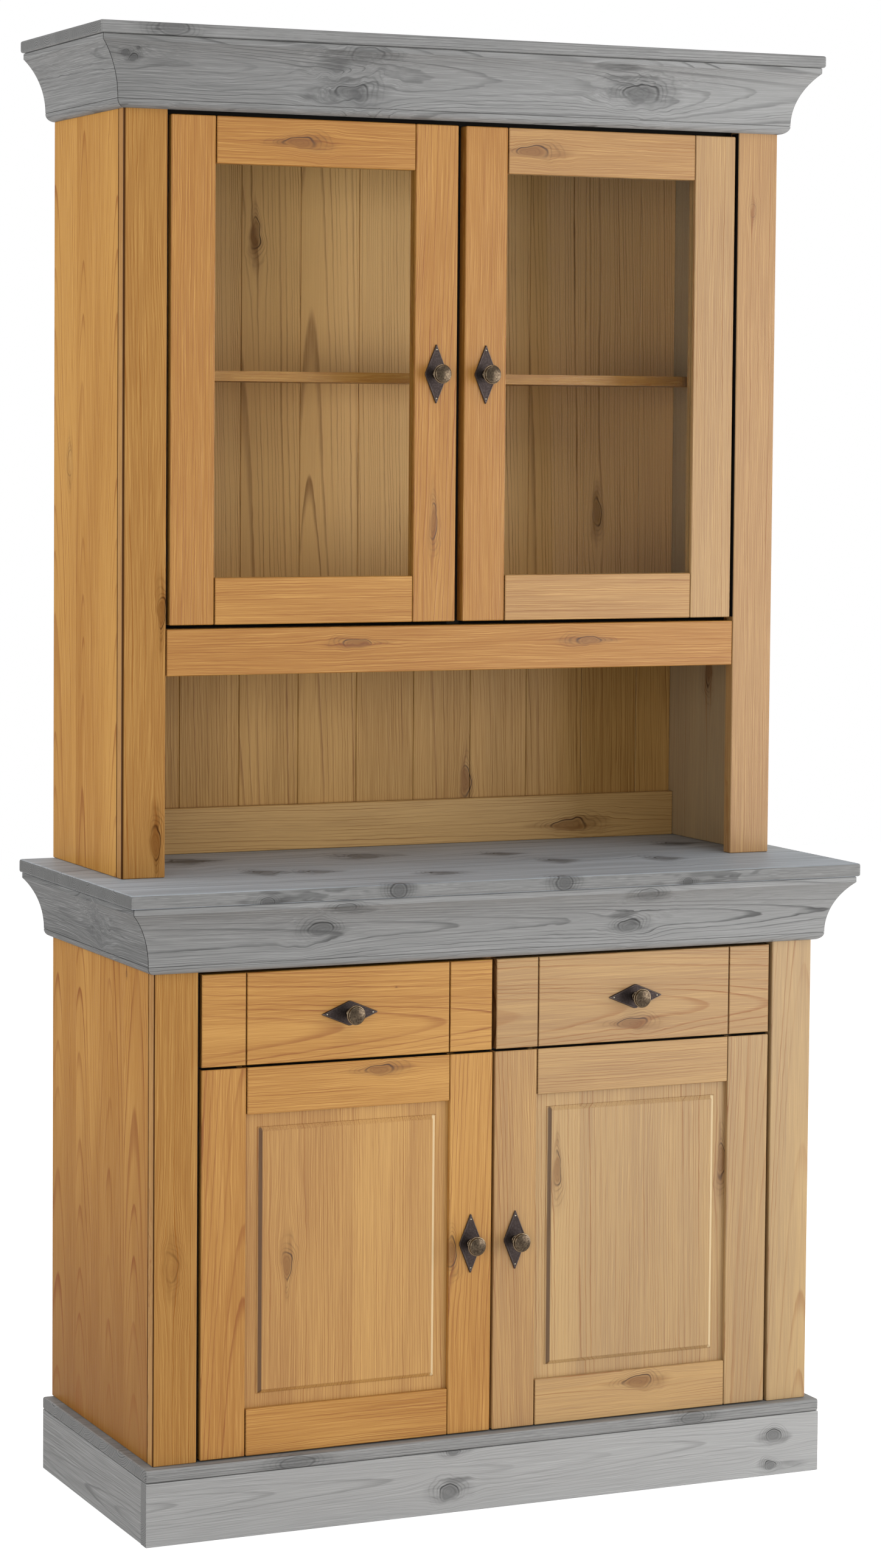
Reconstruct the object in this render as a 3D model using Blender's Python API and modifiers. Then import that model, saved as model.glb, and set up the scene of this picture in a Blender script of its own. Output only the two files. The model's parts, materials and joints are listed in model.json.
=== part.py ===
"""Two-piece pine hutch: a two-door, two-drawer base with a glazed hutch standing on it.

Metres, +Z up. The front faces -Y and the floor is z = 0. The origin is on the floor, under the
middle of the worktop. The backs of both halves lie in one plane, which stands against a wall.
"""
import math

import bmesh
import bpy
from mathutils import Matrix, Vector

# Body of both halves
BODY_WIDTH = 0.998
SIDE_THICKNESS = 0.018
FRONT_THICKNESS = 0.020
PILASTER_WIDTH = 0.0625
ARRIS = 0.001
SEAT = 0.0003

# Plinth and base
PLINTH_HEIGHT = 0.0858
PLINTH_THICKNESS = 0.020
PLINTH_OVERHANG = 0.0145
FLOOR_THICKNESS = 0.0175
BASE_DEPTH = 0.411
BASE_BODY_HEIGHT = 0.7543
BASE_BACK_THICKNESS = 0.009

# Worktop, top board and the cove moulding under each
WORKTOP_THICKNESS = 0.0185
TOP_BOARD_THICKNESS = 0.0166
SLAB_SIDE_OVERHANG = 0.051
SLAB_FRONT_OVERHANG = 0.0495
SLAB_ROUND = 0.003
MOULDING_HEIGHT = 0.0933
MOULDING_REACH = 0.046
MOULDING_FILLET = 0.008
MOULDING_WAIST = 0.0137
OVOLO_HEIGHT = 0.012
COVE_STEPS = 9
OVOLO_STEPS = 5

# Hutch
HUTCH_DEPTH = 0.2834
HUTCH_BODY_HEIGHT = 1.1283
HUTCH_BACK_THICKNESS = 0.012
BACK_BOARD_PITCH = 0.092
BACK_BOARD_OFFSET = 0.055
BACK_RAIL_WIDTH = 0.0655
BACK_RAIL_THICKNESS = 0.012
NICHE_HEIGHT = 0.2737
CROSS_RAIL_WIDTH = 0.0634
CUPBOARD_FLOOR_THICKNESS = 0.018
SHELF_RISE = 0.3376
SHELF_THICKNESS = 0.014
SHELF_SETBACK = 0.122
SHELF_SIDE_CLEARANCE = 0.0045
SHELF_CORNER = 0.025
SHELF_HOUSED_DEPTH = 0.060
SHELF_CORNER_STEPS = 5

# Doors
DOOR_GAP = 0.0056
DOOR_FLOOR_GAP = 0.002
UPPER_MEETING_GAP = 0.012
LOWER_MEETING_GAP = 0.004
STILE_WIDTH = 0.064
RAIL_WIDTH = 0.0637
GROOVE_SETBACK = 0.007
GROOVE_DEPTH = 0.010
TENON_SHOULDER = 0.006
PANEL_TONGUE = 0.006
PANEL_PLAY = 0.001
GLASS_THICKNESS = 0.004
FIELD_MARGIN = 0.020
FIELD_BEVEL = 0.009
FIELD_RISE = 0.005

# Drawers
DRAWER_TOP_GAP = 0.004
DRAWER_HEIGHT = 0.1245
DRAWER_DOOR_GAP = 0.0035
DRAWER_MEETING_GAP = 0.007
DRAWER_BACK_CLEARANCE = 0.0217
DRAWER_BOX_HEIGHT = 0.090
DRAWER_BOX_INSET = 0.004
DRAWER_WALL = 0.012
DRAWER_BOTTOM = 0.006
DRAWER_RUNNING_GAP = 0.0015
DUST_BOARD_THICKNESS = 0.016
DUST_BOARD_RISE = 0.004
DIVIDER_THICKNESS = 0.018
GUIDE_THICKNESS = 0.010
GUIDE_HEIGHT = 0.015

# Vee grooves in the drawer fronts and the back boards
VEE_WIDTH = 0.004

# Concealed hinges
HINGE_FROM_DOOR_END = 0.095
HINGE_PLATE_WIDTH = 0.036
HINGE_PLATE_HEIGHT = 0.050
HINGE_PLATE_THICKNESS = 0.003
HINGE_ARM_HEIGHT = 0.018
HINGE_ARM_THICKNESS = 0.011
HINGE_ARM_LAP = 0.030

# Knobs on their diamond plates
PLATE_LENGTH = 0.0845
PLATE_WIDTH = 0.035
PLATE_THICKNESS = 0.0025
PLATE_RIM = 0.93
KNOB_RADIUS = 0.0135
KNOB_REACH = 0.0295
KNOB_DOME_RADIUS = 0.0117
KNOB_DOME_HEIGHT = 0.006
KNOB_STEP = 0.001
KNOB_RIM = 0.002
KNOB_FLARE = 0.007
KNOB_NECK_RADIUS = 0.005
KNOB_FOOT_RADIUS = 0.0085
KNOB_FOOT_HEIGHT = 0.0045
KNOB_SEGMENTS = 20
DOME_STEPS = 4

# Heights, worked up from the floor
floor_bottom = PLINTH_HEIGHT + SEAT
floor_top = floor_bottom + FLOOR_THICKNESS
base_bottom = floor_top + SEAT
base_top = base_bottom + BASE_BODY_HEIGHT
apron_bottom = base_top - MOULDING_HEIGHT
worktop_bottom = base_top + SEAT
worktop_top = worktop_bottom + WORKTOP_THICKNESS
hutch_bottom = worktop_top + SEAT
hutch_top = hutch_bottom + HUTCH_BODY_HEIGHT
cornice_bottom = hutch_top - MOULDING_HEIGHT
top_board_bottom = hutch_top + SEAT
cross_rail_bottom = worktop_top + NICHE_HEIGHT
cross_rail_top = cross_rail_bottom + CROSS_RAIL_WIDTH
shelf_bottom = cross_rail_top + SHELF_RISE

# Heights of the fronts
upper_door_bottom = cross_rail_top + DOOR_GAP
upper_door_top = cornice_bottom - DOOR_GAP
drawer_top = apron_bottom - DRAWER_TOP_GAP
drawer_bottom = drawer_top - DRAWER_HEIGHT
lower_door_bottom = floor_top + DOOR_FLOOR_GAP
lower_door_top = drawer_bottom - DRAWER_DOOR_GAP
dust_board_top = drawer_bottom + DUST_BOARD_RISE

# Places across and along the depth
rear = (BASE_DEPTH + SLAB_FRONT_OVERHANG) / 2
half_body = BODY_WIDTH / 2
inner_half = half_body - SIDE_THICKNESS
opening_half = half_body - PILASTER_WIDTH
base_front = rear - BASE_DEPTH
base_frame_back = base_front + FRONT_THICKNESS
hutch_front = rear - HUTCH_DEPTH
hutch_frame_back = hutch_front + FRONT_THICKNESS
base_back_face = rear - BASE_BACK_THICKNESS
hutch_back_face = rear - HUTCH_BACK_THICKNESS

# Colour as sRGB hex, roughness, metallic
FINISHES = {
    "waxed_pine": ("C08F52", 0.45, 0.0),
    "inside_pine": ("8C6941", 0.60, 0.0),
    "grey_stained_pine": ("8C8C8C", 0.55, 0.0),
    "clear_glass": ("D8DEDC", 0.05, 0.0),
    "aged_brass": ("6E6048", 0.35, 1.0),
    "nickelled_steel": ("A8A8A6", 0.30, 1.0),
}


def clear_scene():
    """Remove every object that the file opened with."""
    for obj in list(bpy.data.objects):
        bpy.data.objects.remove(obj, do_unlink=True)


def new_collection(name):
    """A collection linked to the scene."""
    collection = bpy.data.collections.new(name)
    bpy.context.scene.collection.children.link(collection)
    return collection


clear_scene()
hutch_parts = new_collection("pine_hutch")
cutters = new_collection("cutters")


def linear(channel):
    """One sRGB channel, 0 to 1, as the linear value that a shader takes."""
    return channel / 12.92 if channel <= 0.04045 else ((channel + 0.055) / 1.055) ** 2.4


def give_material(obj, finish):
    """Give the object a Principled material of its own in the named finish."""
    colour, roughness, metallic = FINISHES[finish]
    material = bpy.data.materials.new(f"{finish}_{obj.name}")
    material.use_nodes = True
    shader = material.node_tree.nodes["Principled BSDF"]
    rgb = [linear(int(colour[i:i + 2], 16) / 255) for i in (0, 2, 4)]
    shader.inputs["Base Color"].default_value = (*rgb, 1.0)
    shader.inputs["Roughness"].default_value = roughness
    shader.inputs["Metallic"].default_value = metallic
    obj.data.materials.clear()
    obj.data.materials.append(material)


def place(obj, name, collection, centre, carrier=None):
    """Name the object, put it in its collection and set it at a world place, under its carrier."""
    obj.name = name
    obj.data.name = name
    for held_in in list(obj.users_collection):
        held_in.objects.unlink(obj)
    collection.objects.link(obj)
    centre = Vector(centre)
    if carrier is not None:
        obj.parent = carrier
        centre = centre - carrier.location
    obj.location = centre
    return obj


def block(low, high):
    """A cube primitive brought to the size between two corners, with its origin at its middle."""
    bpy.ops.mesh.primitive_cube_add(size=1.0)
    obj = bpy.context.object
    size = Vector(high) - Vector(low)
    obj.data.transform(Matrix.Diagonal((*size, 1.0)))
    return obj, (Vector(low) + Vector(high)) / 2


def ease_edges(obj, width, segments=1):
    """Take the arrises off with a Bevel modifier."""
    bevel = obj.modifiers.new("arris", "BEVEL")
    bevel.width = width
    bevel.segments = segments
    bevel.limit_method = "ANGLE"


def board(name, low, high, finish, carrier=None, arris=ARRIS, segments=1):
    """A planed board between two opposite corners."""
    obj, centre = block(low, high)
    place(obj, name, hutch_parts, centre, carrier)
    ease_edges(obj, arris, segments)
    give_material(obj, finish)
    return obj


def tool(obj, name, centre, carrier=None):
    """Keep an object only to cut or join another one."""
    place(obj, name, cutters, centre, carrier)
    obj.hide_render = True
    obj.display_type = "WIRE"
    return obj


def combine(obj, other, operation):
    """Cut or join with an exact Boolean modifier."""
    boolean = obj.modifiers.new(other.name, "BOOLEAN")
    boolean.operation = operation
    boolean.object = other
    boolean.solver = "EXACT"


def cut_box(obj, low, high, carrier=None):
    """Cut a square-cornered space out of the object."""
    cutter, centre = block(low, high)
    tool(cutter, f"{obj.name}_cut_{len(obj.modifiers)}", centre, carrier)
    combine(obj, cutter, "DIFFERENCE")


def join_box(obj, low, high, carrier=None):
    """Join a square-cornered block to the object."""
    joined, centre = block(low, high)
    tool(joined, f"{obj.name}_join_{len(obj.modifiers)}", centre, carrier)
    combine(obj, joined, "UNION")


def cut_vee(obj, x, face_y, bottom, top, carrier=None):
    """Cut an upright vee groove into a face that looks towards -Y."""
    side = VEE_WIDTH / math.sqrt(2)
    beyond = VEE_WIDTH
    length = top - bottom + 2 * beyond
    cutter, _ = block((0, 0, 0), (side, side, length))
    cutter.data.transform(Matrix.Rotation(math.pi / 4, 4, "Z"))
    tool(cutter, f"{obj.name}_vee_{len(obj.modifiers)}", (x, face_y, (bottom + top) / 2), carrier)
    combine(obj, cutter, "DIFFERENCE")


def mirrored(low, high, side):
    """The two corners for the left (-1) or the right (+1), from corners given for the right."""
    if side > 0:
        return low, high
    return (-high[0], low[1], low[2]), (-low[0], high[1], high[2])


def flat_outline(name, points, bottom, top, finish):
    """A board sawn to an outline: a filled 2D curve with an extrude of half its thickness."""
    curve = bpy.data.curves.new(name, "CURVE")
    curve.dimensions = "2D"
    curve.fill_mode = "BOTH"
    curve.extrude = (top - bottom) / 2
    spline = curve.splines.new("POLY")
    spline.points.add(len(points) - 1)
    for point, (x, y) in zip(spline.points, points):
        point.co = (x, y, 0.0, 1.0)
    spline.use_cyclic_u = True
    obj = bpy.data.objects.new(name, curve)
    hutch_parts.objects.link(obj)
    obj.location = (0.0, 0.0, (bottom + top) / 2)
    give_material(obj, finish)
    return obj


def axis_empty(name, place_at):
    """An empty on the axis of a moving piece, which the piece hangs from."""
    empty = bpy.data.objects.new(name, None)
    empty.empty_display_size = 0.05
    empty.location = place_at
    hutch_parts.objects.link(empty)
    return empty


def moulding_section():
    """The moulding's section as (reach, depth below its top): fillet, cove and ovolo."""
    cove_top = MOULDING_FILLET
    cove_bottom = MOULDING_HEIGHT - OVOLO_HEIGHT
    run = MOULDING_REACH - MOULDING_WAIST
    fall = cove_bottom - cove_top
    radius = (run ** 2 + fall ** 2) / (2 * run)
    sweep = math.asin(fall / radius)
    points = [(SEAT, 0.0), (MOULDING_REACH, 0.0)]
    for step in range(COVE_STEPS + 1):
        angle = sweep * (1 - step / COVE_STEPS)
        points.append((MOULDING_WAIST + radius * (1 - math.cos(angle)),
                       cove_bottom - radius * math.sin(angle)))
    for step in range(1, OVOLO_STEPS + 1):
        angle = math.pi / 2 * step / OVOLO_STEPS
        points.append((SEAT + (MOULDING_WAIST - SEAT) * math.cos(angle),
                       cove_bottom + OVOLO_HEIGHT * math.sin(angle)))
    return points


def mitred_moulding(name, top, front, finish):
    """The moulding run along the left side, the front and the right side, mitred at the corners."""
    section = moulding_section()
    stations = [(-1, 0), (-1, 1), (1, 1), (1, 0)]
    mesh = bpy.data.meshes.new(name)
    bm = bmesh.new()
    rings = []
    for side, at_front in stations:
        ring = []
        for reach, depth in section:
            y = front - reach if at_front else rear
            ring.append(bm.verts.new((side * (half_body + reach), y, top - depth)))
        rings.append(ring)
    count = len(section)
    bm.faces.new(rings[0])
    bm.faces.new(reversed(rings[-1]))
    for before, after in zip(rings, rings[1:]):
        for i in range(count):
            j = (i + 1) % count
            bm.faces.new((before[i], after[i], after[j], before[j]))
    bmesh.ops.recalc_face_normals(bm, faces=bm.faces)
    bm.to_mesh(mesh)
    bm.free()
    obj = bpy.data.objects.new(name, mesh)
    hutch_parts.objects.link(obj)
    give_material(obj, finish)
    return obj


def plinth():
    """The plinth frame and the grey slab on it, which is also the floor of the base."""
    outer = half_body + PLINTH_OVERHANG
    front = base_front - PLINTH_OVERHANG
    inner = outer - PLINTH_THICKNESS
    inner_front = front + PLINTH_THICKNESS
    points = [(-outer, rear), (-outer, front), (outer, front), (outer, rear),
              (inner, rear), (inner, inner_front), (-inner, inner_front), (-inner, rear)]
    flat_outline("plinth_frame", points, 0.0, PLINTH_HEIGHT, "grey_stained_pine")
    board("plinth_slab", (-outer, front, floor_bottom), (outer, rear, floor_top),
          "grey_stained_pine", arris=SLAB_ROUND, segments=2)


def carcass(prefix, front, frame_back, bottom, top):
    """The two side boards and the two pilasters that cover their front edges."""
    for side, hand in ((-1, "left"), (1, "right")):
        low, high = mirrored((inner_half, frame_back + SEAT, bottom), (half_body, rear, top), side)
        board(f"{prefix}_side_{hand}", low, high, "waxed_pine")
        low, high = mirrored((opening_half, front, bottom), (half_body, frame_back, top), side)
        board(f"{prefix}_pilaster_{hand}", low, high, "waxed_pine")


def base_inside():
    """The base's back, the board under the drawers and the upright between them."""
    reach = inner_half - SEAT
    board("base_back", (-reach, base_back_face, base_bottom), (reach, rear, base_top), "inside_pine")
    front = base_frame_back + SEAT
    back = base_back_face - SEAT
    dust = board("drawer_board", (-reach, front, dust_board_top - DUST_BOARD_THICKNESS),
                 (reach, back, dust_board_top), "inside_pine")
    guide_inner = opening_half - DOOR_GAP - DRAWER_BOX_INSET + DRAWER_RUNNING_GAP
    overlap = DUST_BOARD_THICKNESS / 4
    for side in (-1, 1):
        low, high = mirrored((guide_inner, front + GUIDE_THICKNESS, dust_board_top - overlap),
                             (guide_inner + GUIDE_THICKNESS, back - GUIDE_THICKNESS,
                              dust_board_top + GUIDE_HEIGHT), side)
        join_box(dust, low, high)
    half_divider = DIVIDER_THICKNESS / 2
    board("drawer_divider", (-half_divider, front, dust_board_top + SEAT),
          (half_divider, back, base_top), "inside_pine")


def slab(name, bottom, top, front):
    """A grey board with rounded edges that overhangs the body at the front and at both sides."""
    reach = half_body + SLAB_SIDE_OVERHANG
    board(name, (-reach, front - SLAB_FRONT_OVERHANG, bottom), (reach, rear, top),
          "grey_stained_pine", arris=SLAB_ROUND, segments=2)


def hutch_back():
    """The grooved back boards, with the rail across their foot."""
    reach = inner_half - SEAT
    back = board("hutch_back", (-reach, hutch_back_face, hutch_bottom), (reach, rear, hutch_top),
                 "waxed_pine")
    first = math.ceil((-reach + VEE_WIDTH - BACK_BOARD_OFFSET) / BACK_BOARD_PITCH)
    last = math.floor((reach - VEE_WIDTH - BACK_BOARD_OFFSET) / BACK_BOARD_PITCH)
    for number in range(first, last + 1):
        x = BACK_BOARD_OFFSET + number * BACK_BOARD_PITCH
        cut_vee(back, x, hutch_back_face, hutch_bottom, hutch_top)
    rail_back = hutch_back_face - SEAT
    board("hutch_back_rail", (-reach, rail_back - BACK_RAIL_THICKNESS, hutch_bottom),
          (reach, rail_back, hutch_bottom + BACK_RAIL_WIDTH), "waxed_pine")


def hutch_inside():
    """The rail and floor under the glazed cupboard, and its one shelf."""
    rail_half = opening_half - SEAT
    board("hutch_cross_rail", (-rail_half, hutch_front, cross_rail_bottom),
          (rail_half, hutch_frame_back, cross_rail_top), "waxed_pine")
    reach = inner_half - SEAT
    back = hutch_back_face - SEAT
    board("hutch_floor", (-reach, hutch_frame_back + SEAT, cross_rail_top - CUPBOARD_FLOOR_THICKNESS),
          (reach, back, cross_rail_top), "waxed_pine")
    front = hutch_front + SHELF_SETBACK
    half = opening_half - SHELF_SIDE_CLEARANCE
    housed = back - SHELF_HOUSED_DEPTH
    points = [(-reach, back), (-reach, housed), (-half, housed)]
    for side in (-1, 1):
        steps = range(SHELF_CORNER_STEPS + 1)
        for step in steps if side < 0 else reversed(steps):
            angle = math.pi / 2 * step / SHELF_CORNER_STEPS
            points.append((side * (half - SHELF_CORNER * (1 - math.cos(angle))),
                           front + SHELF_CORNER * (1 - math.sin(angle))))
    points += [(half, housed), (reach, housed), (reach, back)]
    flat_outline("hutch_shelf", points, shelf_bottom, shelf_bottom + SHELF_THICKNESS, "waxed_pine")


def knob(name, centre, upright, carrier):
    """A turned mushroom knob joined to its chamfered diamond plate, facing -Y from the plate's back."""
    foot = PLATE_THICKNESS / 2
    dome_foot = KNOB_REACH - KNOB_DOME_HEIGHT
    rim_front = dome_foot - KNOB_STEP
    rim_back = rim_front - KNOB_RIM
    profile = [(0.0, KNOB_REACH)]
    for step in range(1, DOME_STEPS + 1):
        angle = math.pi / 2 * step / DOME_STEPS
        profile.append((KNOB_DOME_RADIUS * math.sin(angle), dome_foot + KNOB_DOME_HEIGHT * math.cos(angle)))
    profile += [(KNOB_RADIUS, rim_front), (KNOB_RADIUS, rim_back),
                (KNOB_NECK_RADIUS, rim_back - KNOB_FLARE), (KNOB_NECK_RADIUS, KNOB_FOOT_HEIGHT),
                (KNOB_FOOT_RADIUS, KNOB_FOOT_HEIGHT - KNOB_STEP), (KNOB_FOOT_RADIUS, foot), (0.0, foot)]
    mesh = bpy.data.meshes.new(name)
    mesh.from_pydata([(radius, 0.0, reach) for radius, reach in profile],
                     [(i, i + 1) for i in range(len(profile) - 1)], [])
    obj = bpy.data.objects.new(name, mesh)
    hutch_parts.objects.link(obj)
    facing = Matrix.Rotation(math.pi / 2, 4, "X")
    obj.rotation_euler = facing.to_euler()
    place(obj, name, hutch_parts, centre, carrier)
    screw = obj.modifiers.new("turn", "SCREW")
    screw.steps = KNOB_SEGMENTS
    screw.render_steps = KNOB_SEGMENTS
    screw.use_merge_vertices = True
    screw.merge_threshold = 0.00001
    plate_mesh = bpy.data.meshes.new(f"{name}_plate")
    bm = bmesh.new()
    bmesh.ops.create_cone(bm, cap_ends=True, segments=4, radius1=1.0, radius2=PLATE_RIM, depth=1.0)
    across, along = PLATE_WIDTH / 2, PLATE_LENGTH / 2
    size = (across, along, PLATE_THICKNESS) if upright else (along, across, PLATE_THICKNESS)
    bmesh.ops.transform(bm, matrix=Matrix.Diagonal((*size, 1.0)), verts=bm.verts)
    bmesh.ops.translate(bm, vec=(0.0, 0.0, PLATE_THICKNESS / 2), verts=bm.verts)
    bm.to_mesh(plate_mesh)
    bm.free()
    plate = bpy.data.objects.new(f"{name}_plate", plate_mesh)
    cutters.objects.link(plate)
    plate.rotation_euler = facing.to_euler()
    tool(plate, f"{name}_plate", centre, carrier)
    combine(obj, plate, "UNION")
    give_material(obj, "aged_brass")


def door_rail(name, left, right, front, bottom, top, groove, groove_on_top, carrier):
    """A door rail with stub tenons at both ends and a groove along its inner edge."""
    back = front + FRONT_THICKNESS
    rail = board(name, (left + SEAT, front, bottom), (right - SEAT, back, top), "waxed_pine", carrier)
    tenon_front = front + GROOVE_SETBACK + SEAT
    tenon_back = tenon_front + groove - 2 * SEAT
    tenon = GROOVE_DEPTH - SEAT
    join_box(rail, (left - tenon, tenon_front, bottom + TENON_SHOULDER),
             (right + tenon, tenon_back, top - TENON_SHOULDER), carrier)
    beyond = GROOVE_DEPTH * 2
    groove_front = front + GROOVE_SETBACK
    groove_z = (bottom - beyond, bottom + GROOVE_DEPTH)
    if groove_on_top:
        groove_z = (top - GROOVE_DEPTH, top + beyond)
    cut_box(rail, (left - beyond, groove_front, groove_z[0]),
            (right + beyond, groove_front + groove, groove_z[1]), carrier)


def door_stile(name, left, front, bottom, top, groove, groove_on_right, carrier):
    """A full-height door stile with a groove along its inner edge."""
    right = left + STILE_WIDTH
    back = front + FRONT_THICKNESS
    stile = board(name, (left, front, bottom), (right, back, top), "waxed_pine", carrier)
    beyond = GROOVE_DEPTH * 2
    groove_x = (left - beyond, left + GROOVE_DEPTH)
    if groove_on_right:
        groove_x = (right - GROOVE_DEPTH, right + beyond)
    groove_front = front + GROOVE_SETBACK
    cut_box(stile, (groove_x[0], groove_front, bottom - beyond),
            (groove_x[1], groove_front + groove, top + beyond), carrier)


def fielded_panel(name, left, right, front, bottom, top, carrier):
    """A door panel whose face rises over a bevel to a flat field, its edges held in the grooves."""
    lap = GROOVE_DEPTH - PANEL_PLAY
    face = front + GROOVE_SETBACK + SEAT
    obj, centre = block((left - lap, face, bottom - lap), (right + lap, face + PANEL_TONGUE, top + lap))
    place(obj, name, hutch_parts, centre, carrier)
    bm = bmesh.new()
    bm.from_mesh(obj.data)
    bm.faces.ensure_lookup_table()
    show_face = min(bm.faces, key=lambda each: each.calc_center_median().y)
    bmesh.ops.inset_individual(bm, faces=[show_face], thickness=lap + FIELD_MARGIN, depth=0.0)
    bmesh.ops.inset_individual(bm, faces=[show_face], thickness=FIELD_BEVEL, depth=FIELD_RISE)
    bm.to_mesh(obj.data)
    bm.free()
    give_material(obj, "waxed_pine")


def glass_pane(name, left, right, front, bottom, top, carrier):
    """The clear pane of a glazed door, its edges held in the grooves."""
    lap = GROOVE_DEPTH - PANEL_PLAY
    face = front + GROOVE_SETBACK + SEAT
    board(name, (left - lap, face, bottom - lap), (right + lap, face + GLASS_THICKNESS, top + lap),
          "clear_glass", carrier, arris=PANEL_PLAY / 2)


def door(level, side, front, bottom, top, meeting_gap, glazed):
    """One inset door hung on its outer edge: two stiles, two rails, a pane or a panel, and a knob."""
    hand = "left" if side < 0 else "right"
    name = f"{level}_door_{hand}"
    outer = side * (opening_half - DOOR_GAP)
    inner = side * meeting_gap / 2
    left, right = min(outer, inner), max(outer, inner)
    middle = (bottom + top) / 2
    carrier = axis_empty(f"{name}_axis", (side * (opening_half - DOOR_GAP / 2), front, middle))
    groove = (GLASS_THICKNESS if glazed else PANEL_TONGUE) + 2 * SEAT
    left_name, right_name = ("hinge", "meeting") if side < 0 else ("meeting", "hinge")
    inside_left, inside_right = left + STILE_WIDTH, right - STILE_WIDTH
    inside_bottom, inside_top = bottom + RAIL_WIDTH, top - RAIL_WIDTH
    door_stile(f"{name}_{left_name}_stile", left, front, bottom, top, groove, True, carrier)
    door_stile(f"{name}_{right_name}_stile", inside_right, front, bottom, top, groove, False, carrier)
    door_rail(f"{name}_bottom_rail", inside_left, inside_right, front,
              bottom, inside_bottom, groove, True, carrier)
    door_rail(f"{name}_top_rail", inside_left, inside_right, front,
              inside_top, top, groove, False, carrier)
    fill = glass_pane if glazed else fielded_panel
    fill(f"{name}_{'glass' if glazed else 'panel'}", inside_left, inside_right, front,
         inside_bottom, inside_top, carrier)
    knob_x = side * (meeting_gap + STILE_WIDTH) / 2
    knob(f"{name}_knob", (knob_x, front - SEAT, middle), True, carrier)


def hinge(name, side, frame_back, z):
    """A concealed hinge: its plate on the back of the pilaster, its arm out behind the door's stile."""
    face = frame_back + SEAT
    arm_end = opening_half - DOOR_GAP - HINGE_ARM_LAP
    plate_inner = opening_half + DOOR_GAP / 2
    low, high = mirrored((arm_end, face, z - HINGE_ARM_HEIGHT / 2),
                         (plate_inner + HINGE_PLATE_WIDTH / 2, face + HINGE_ARM_THICKNESS,
                          z + HINGE_ARM_HEIGHT / 2), side)
    arm = board(name, low, high, "nickelled_steel")
    low, high = mirrored((plate_inner, face, z - HINGE_PLATE_HEIGHT / 2),
                         (plate_inner + HINGE_PLATE_WIDTH, face + HINGE_PLATE_THICKNESS,
                          z + HINGE_PLATE_HEIGHT / 2), side)
    join_box(arm, low, high)


def drawer(side):
    """One drawer: its grooved front, the box behind it, and its knob."""
    hand = "left" if side < 0 else "right"
    outer = side * (opening_half - DOOR_GAP)
    inner = side * DRAWER_MEETING_GAP / 2
    left, right = min(outer, inner), max(outer, inner)
    centre = ((left + right) / 2, base_front - SEAT, (drawer_bottom + drawer_top) / 2)
    carrier = axis_empty(f"drawer_{hand}_slide", centre)
    front = board(f"drawer_{hand}_front", (left, base_front, drawer_bottom),
                  (right, base_frame_back, drawer_top), "waxed_pine", carrier)
    for x in (left + STILE_WIDTH, right - STILE_WIDTH):
        cut_vee(front, x, base_front, drawer_bottom, drawer_top, carrier)
    box_outer = opening_half - DOOR_GAP - DRAWER_BOX_INSET
    box_inner = DIVIDER_THICKNESS / 2 + DRAWER_RUNNING_GAP
    box_front = base_frame_back + SEAT
    box_back = base_back_face - DRAWER_BACK_CLEARANCE
    box_bottom = dust_board_top + SEAT
    box_top = box_bottom + DRAWER_BOX_HEIGHT
    low, high = mirrored((box_inner, box_front, box_bottom),
                         (box_outer, box_back, box_top), side)
    box = board(f"drawer_{hand}_box", low, high, "inside_pine", carrier)
    low, high = mirrored((box_inner + DRAWER_WALL, box_front + DRAWER_WALL, box_bottom + DRAWER_BOTTOM),
                         (box_outer - DRAWER_WALL, box_back - DRAWER_WALL, box_top + DRAWER_WALL),
                         side)
    cut_box(box, low, high, carrier)
    knob(f"drawer_{hand}_knob", centre, False, carrier)


def hinges(level, frame_back, bottom, top):
    """Two hinges for each of the two doors."""
    for side, hand in ((-1, "left"), (1, "right")):
        hinge(f"hinge_{level}_{hand}_bottom", side, frame_back, bottom + HINGE_FROM_DOOR_END)
        hinge(f"hinge_{level}_{hand}_top", side, frame_back, top - HINGE_FROM_DOOR_END)


plinth()
carcass("base", base_front, base_frame_back, base_bottom, base_top)
base_inside()
mitred_moulding("apron_moulding", base_top, base_front, "grey_stained_pine")
slab("worktop", worktop_bottom, worktop_top, base_front)
carcass("hutch", hutch_front, hutch_frame_back, hutch_bottom, hutch_top)
hutch_back()
hutch_inside()
mitred_moulding("cornice_moulding", hutch_top, hutch_front, "grey_stained_pine")
slab("top_board", top_board_bottom, top_board_bottom + TOP_BOARD_THICKNESS, hutch_front)
for side in (-1, 1):
    door("upper", side, hutch_front, upper_door_bottom, upper_door_top, UPPER_MEETING_GAP, True)
    door("lower", side, base_front, lower_door_bottom, lower_door_top, LOWER_MEETING_GAP, False)
    drawer(side)
hinges("upper", hutch_frame_back, upper_door_bottom, upper_door_top)
hinges("lower", base_frame_back, lower_door_bottom, lower_door_top)
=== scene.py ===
import json
import math
import random
from functools import partial

import bmesh
import bpy
from mathutils import Matrix, Vector

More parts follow.
